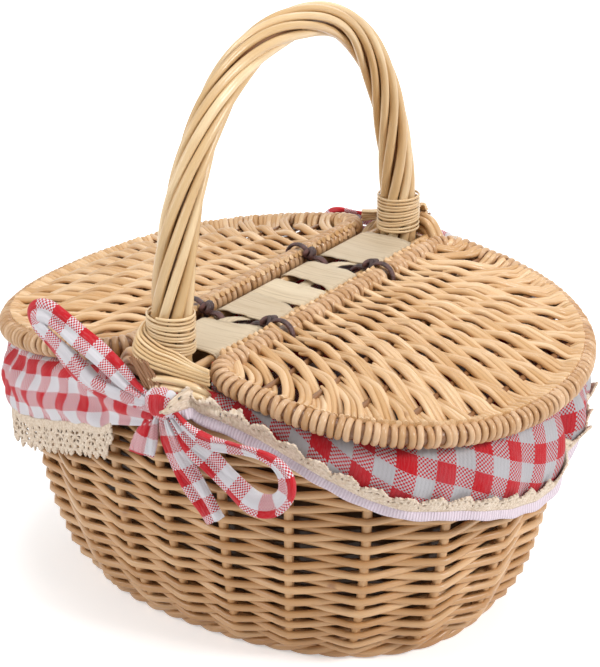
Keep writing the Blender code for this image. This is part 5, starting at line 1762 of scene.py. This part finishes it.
def ribbon_grid(points, sides, widths, phase, curl):
    """Ribbon along a line, pleated where it is narrow and softly creased where it is wide."""
    tangent = unit(np.gradient(points, axis=0))
    side = unit(sides - tangent * np.sum(sides * tangent, -1, keepdims=True))
    normal = np.cross(side, tangent)
    inward = -np.sign(points[:, 1].mean()) * normal[:, 1].mean()
    normal = normal * (1 if inward > 0 else -1)
    across = np.linspace(-1, 1, RIBBON_POINTS)
    wide, deep = rolled_section(across, curl)
    run = path_run(points)[:, None]
    pinch = np.clip(1 - widths / widths.max(), 0, 1)[:, None]
    first, second = RIBBON_CREASES
    crease = first * np.sin(2.6 * across + run * 140 + phase)
    crease = crease + second * (0.5 - np.abs(np.sin(3.2 * across - run * 55 + 2 * phase)))
    fold = RIBBON_PLEAT * pinch * np.cos(3.2 * pi * across + phase) + crease * (1 - pinch)
    sway = RIBBON_SWAY * np.sin(run * 90 + 3 * phase) * (1 - pinch)
    half = widths[:, None] / 2
    grid = (points[:, None] + side[:, None] * (half * wide + sway)[..., None]
            + normal[:, None] * (fold + half * deep)[..., None])
    cloth = np.broadcast_arrays(across * RIBBON_CLOTH_HALF, run, 0 * fold)
    return grid, {"cloth": np.stack(cloth, -1) + (0.004 + phase * 0.01, phase * 0.013, 0)}


class BASKET_OT_bows(bpy.types.Operator):
    """Tie a gingham ribbon in a bow at each handle foot"""

    bl_idname = "basket.bows"
    bl_label = "Bows"

    def execute(self, context):
        cloth, colours = context.scene.cloth_sizes, context.scene.finish_colours
        check = cloth.check * RIBBON_CHECK_SHARE
        material = gingham("gingham_ribbon", colours.red, colours.white, check, cloth.thread)
        for end, mirror in (("front", 1), ("rear", -1)):
            flip = np.array((1, mirror, 1))
            knot = self.knot("bow_" + end, flip, material)
            for key in LOOP_STAND:
                line = self.loop_line(end + "_" + key, key, cloth)
                self.tie("bow_" + end, "loop_" + key, line, flip, material, cloth, [knot])
            for key in TAIL_REACHES:
                line = self.tail_line(key, cloth)
                self.tie("bow_" + end, "tail_" + key, line, flip, material, cloth, [])
        return {"FINISHED"}

    def tie(self, bow, key, line, flip, material, cloth, sewn):
        points, sides, widths = line
        points = points * flip
        curl = RIBBON_CURL_DEG[key[:4]]
        grid, fields = ribbon_grid(points, sides * flip, widths, RIBBON_PHASES[key], curl)
        piece = surface("%s_ribbon_%s" % (bow, key), grid, fields, material, cloth.cloth_thick)
        place_piece(piece, [bow + "_" + key])

    def knot(self, bow, flip, material):
        """The turn of ribbon that holds the bow together, creased round its middle."""
        turn = np.linspace(0, 2 * pi, 48, endpoint=False)[:, None]
        lean = np.linspace(-1, 1, 21)
        bulge = np.sqrt(np.clip(1 - 0.72 * lean ** 2, 0, 1))
        pleat = 1 + 0.05 * np.sin(9 * lean + 1.2 * np.sin(turn)) + 0.03 * np.sin(3 * turn + 4 * lean)
        x = KNOT_RADII[0] * 0.95 * lean * (1 + 0.1 * np.sin(turn))
        y = (KNOT_RADII[1] + KNOT_CLOTH_OUT) * np.cos(turn) * bulge * pleat
        z = KNOT_RADII[2] * np.sin(turn) * bulge * pleat
        grid = (np.stack([x, y, z + 0.15 * x], -1) + KNOT_PLACE) * flip
        (width, length), (start, low) = KNOT_CLOTH_SCALE, KNOT_CLOTH_START
        cloth = np.broadcast_arrays(lean * width + start, turn * length + low, 0 * y)
        fields = {"cloth": np.stack(cloth, -1)}
        piece = surface(bow + "_ribbon_knot", grid, fields, material, KNOT_CLOTH_THICK, wrap=True)
        return place_piece(piece, [bow + "_knot"])

    def loop_line(self, line, key, cloth):
        """Middle line, side vectors and widths of a loop, leaning so that its upper face looks up."""
        flat = curve_through(LOOP_LINES[line], 100)
        away = np.linalg.norm(flat, axis=-1)
        stand = LOOP_STAND[key] * away / away.max()
        points = np.stack([flat[:, 0], stand, flat[:, 1]], -1) + KNOT_PLACE
        tangent = unit(np.gradient(points, axis=0))
        side = Y if key == "left" else -Y
        cone = radians(LOOP_CONE_DEG)
        sides = side * cos(cone) - np.cross(tangent, side) * sin(cone)
        run = path_run(points)
        first, second = LOOP_FULLNESS[key]
        fullness = first + (second - first) * smooth((run / run[-1] - 0.35) / 0.25)
        return points, sides, pinched_width(np.minimum(run, run[-1] - run), cloth) * fullness

    def tail_line(self, key, cloth):
        """Middle line, side vectors and widths of a tail, leaving the knot's face and hanging over."""
        turn = radians(TAIL_ROOTS_DEG[key])
        root = np.array((cos(turn), 0, sin(turn)))
        start = KNOT_PLACE + root * (knot_reach(root) * 0.9)
        end = np.array(KNOT_PLACE) + TAIL_REACHES[key]
        length = np.linalg.norm(end - start)
        bend = start + root * (length / 3)
        share = np.linspace(0, 1, 50)[:, None]
        points = (1 - share) ** 2 * start + 2 * share * (1 - share) * bend + share ** 2 * end
        sides = np.broadcast_to(unit(np.cross(end - start, Y)), points.shape)
        return points, sides, pinched_width(length * share[:, 0], cloth)


# Stage, panel and main

SEEN_RAYS = ("Is Camera Ray", "Is Glossy Ray", "Is Transmission Ray")
FLOOR_HALF = 3.0
# Glow of the floor near the basket, and between which distances from it the glow grows to 1
FLOOR_GLOW = 0.42
FLOOR_GLOW_DISTANCES = (0.60, 1.30)
FLOOR_RAMP_LENGTH = 2.0
FLOOR_WHITES = (0.93, 0.95)
WORLD_STRENGTH = 0.40
# Each lamp: its name, place, power in watts and width
LAMPS = (("key", (1.25, 0.10, 0.95), 13.0, 0.45), ("fill", (-0.80, -0.95, 0.75), 6.0, 0.6),
         ("top", (0.05, -0.15, 1.60), 9.0, 0.5), ("back", (-0.3, 1.2, 0.8), 3.0, 0.8))
LAMP_AIM = (0, 0, 0.1)
CAMERA_LENS = 107.93
CAMERA_SENSOR = 36.0
CAMERA_REACH = 20.0
CAMERA_PLACE = (0.56219, -0.83794, 0.56395)
CAMERA_AIM = (0.002908, 0.001937, 0.140469)


def grey(value):
    return value, value, value, 1


def place_looking(context, name, data, place, aim):
    """An object at a place, looking at its aim."""
    made = bpy.data.objects.new(name, data)
    made.location = place
    made.rotation_euler = (Vector(aim) - Vector(place)).to_track_quat("-Z", "Y").to_euler()
    context.scene.collection.objects.link(made)
    return made


class BASKET_OT_stage(bpy.types.Operator):
    """Put up the pale floor, the soft lights and the camera"""

    bl_idname = "basket.stage"
    bl_label = "Stage"

    def execute(self, context):
        self.lay_floor()
        self.light_world(context)
        self.hang_lights(context)
        self.place_camera(context)
        context.scene.view_settings.view_transform = "Standard"
        return {"FINISHED"}

    def lay_floor(self):
        mesh = bpy.data.meshes.new("studio_floor")
        corners = [(x * FLOOR_HALF, y * FLOOR_HALF, 0) for x, y in ((-1, -1), (1, -1), (1, 1), (-1, 1))]
        mesh.from_pydata(corners, [], [(0, 1, 2, 3)])
        paint = Paint("floor_white")
        place = paint.node("ShaderNodeTexCoord", out="Object")
        grain = paint.noise(place, 6.0)
        distance = paint.node("ShaderNodeVectorMath", {"operation": "LENGTH"}, {0: place}, out="Value")
        rays = [paint.node("ShaderNodeLightPath", out=name) for name in SEEN_RAYS]
        seen = rays[0].maths("MAXIMUM", rays[0], rays[1].maths("MAXIMUM", rays[1], rays[2]))
        near, far = (value / FLOOR_RAMP_LENGTH for value in FLOOR_GLOW_DISTANCES)
        away = paint.ramp(distance * (1 / FLOOR_RAMP_LENGTH), ((near, 0.0), (far, 1.0)))
        glow = paint.blend(away, grey(FLOOR_GLOW), grey(1))
        paint.plug(paint.shader.inputs["Emission Color"], paint.blend(seen, grey(0), glow))
        paint.shader.inputs["Emission Strength"].default_value = 1.0
        dark, light = FLOOR_WHITES
        paint.finish(paint.blend(grain, grey(dark), grey(light)), 0.9)
        show("studio_floor", mesh, paint.material)

    def light_world(self, context):
        """A white world, weaker for the light that it gives than for what is seen of it."""
        world = bpy.data.worlds.new("studio")
        context.scene.world = world
        world.use_nodes = True
        tree = world.node_tree
        back = tree.nodes["Background"]
        back.inputs["Color"].default_value = grey(1)
        path = tree.nodes.new("ShaderNodeLightPath")
        seen = path.outputs[SEEN_RAYS[0]]
        for name in SEEN_RAYS[1:]:
            either = tree.nodes.new("ShaderNodeMath")
            either.operation = "MAXIMUM"
            tree.links.new(seen, either.inputs[0])
            tree.links.new(path.outputs[name], either.inputs[1])
            seen = either.outputs[0]
        strength = tree.nodes.new("ShaderNodeMapRange")
        tree.links.new(seen, strength.inputs["Value"])
        strength.inputs["To Min"].default_value = WORLD_STRENGTH
        strength.inputs["To Max"].default_value = 1.0
        tree.links.new(strength.outputs["Result"], back.inputs["Strength"])

    def hang_lights(self, context):
        for name, place, power, size in LAMPS:
            data = bpy.data.lights.new(name, "AREA")
            data.energy = power
            data.size = size
            place_looking(context, name, data, place, LAMP_AIM)

    def place_camera(self, context):
        data = bpy.data.cameras.new("camera")
        data.lens = CAMERA_LENS
        data.sensor_width = CAMERA_SENSOR
        data.clip_end = CAMERA_REACH
        context.scene.camera = place_looking(context, "camera", data, CAMERA_PLACE, CAMERA_AIM)


class BASKET_PT_panel(bpy.types.Panel):
    """Lists the basket's sizes, colours and building steps"""

    bl_idname = "BASKET_PT_panel"
    bl_label = "Willow Pie Basket"
    bl_space_type = "VIEW_3D"
    bl_region_type = "UI"
    bl_category = "Basket"

    def draw(self, context):
        for group in PROPERTY_GROUPS:
            box = self.layout.box()
            values = getattr(context.scene, PROPERTY_GROUPS[group])
            for name in group.__annotations__:
                box.prop(values, name)
        for step in OPERATORS:
            self.layout.operator(step.bl_idname)


PROPERTY_GROUPS = {WillowSizes: "willow_sizes", ClothSizes: "cloth_sizes", FinishColours: "finish_colours"}
OPERATORS = (BASKET_OT_wall, BASKET_OT_border, BASKET_OT_base, BASKET_OT_handle, BASKET_OT_bridge,
             BASKET_OT_ties, BASKET_OT_lids, BASKET_OT_liner, BASKET_OT_bows, BASKET_OT_stage)


def register():
    for group, name in PROPERTY_GROUPS.items():
        bpy.utils.register_class(group)
        setattr(bpy.types.Scene, name, bpy.props.PointerProperty(type=group))
    for made in (*OPERATORS, BASKET_PT_panel):
        bpy.utils.register_class(made)


def unregister():
    for made in (BASKET_PT_panel, *reversed(OPERATORS)):
        bpy.utils.unregister_class(made)
    for group, name in PROPERTY_GROUPS.items():
        delattr(bpy.types.Scene, name)
        bpy.utils.unregister_class(group)


def main():
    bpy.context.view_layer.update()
    register()
    for step in OPERATORS:
        family, name = step.bl_idname.split(".")
        getattr(getattr(bpy.ops, family), name)()


if __name__ == "__main__":
    main()
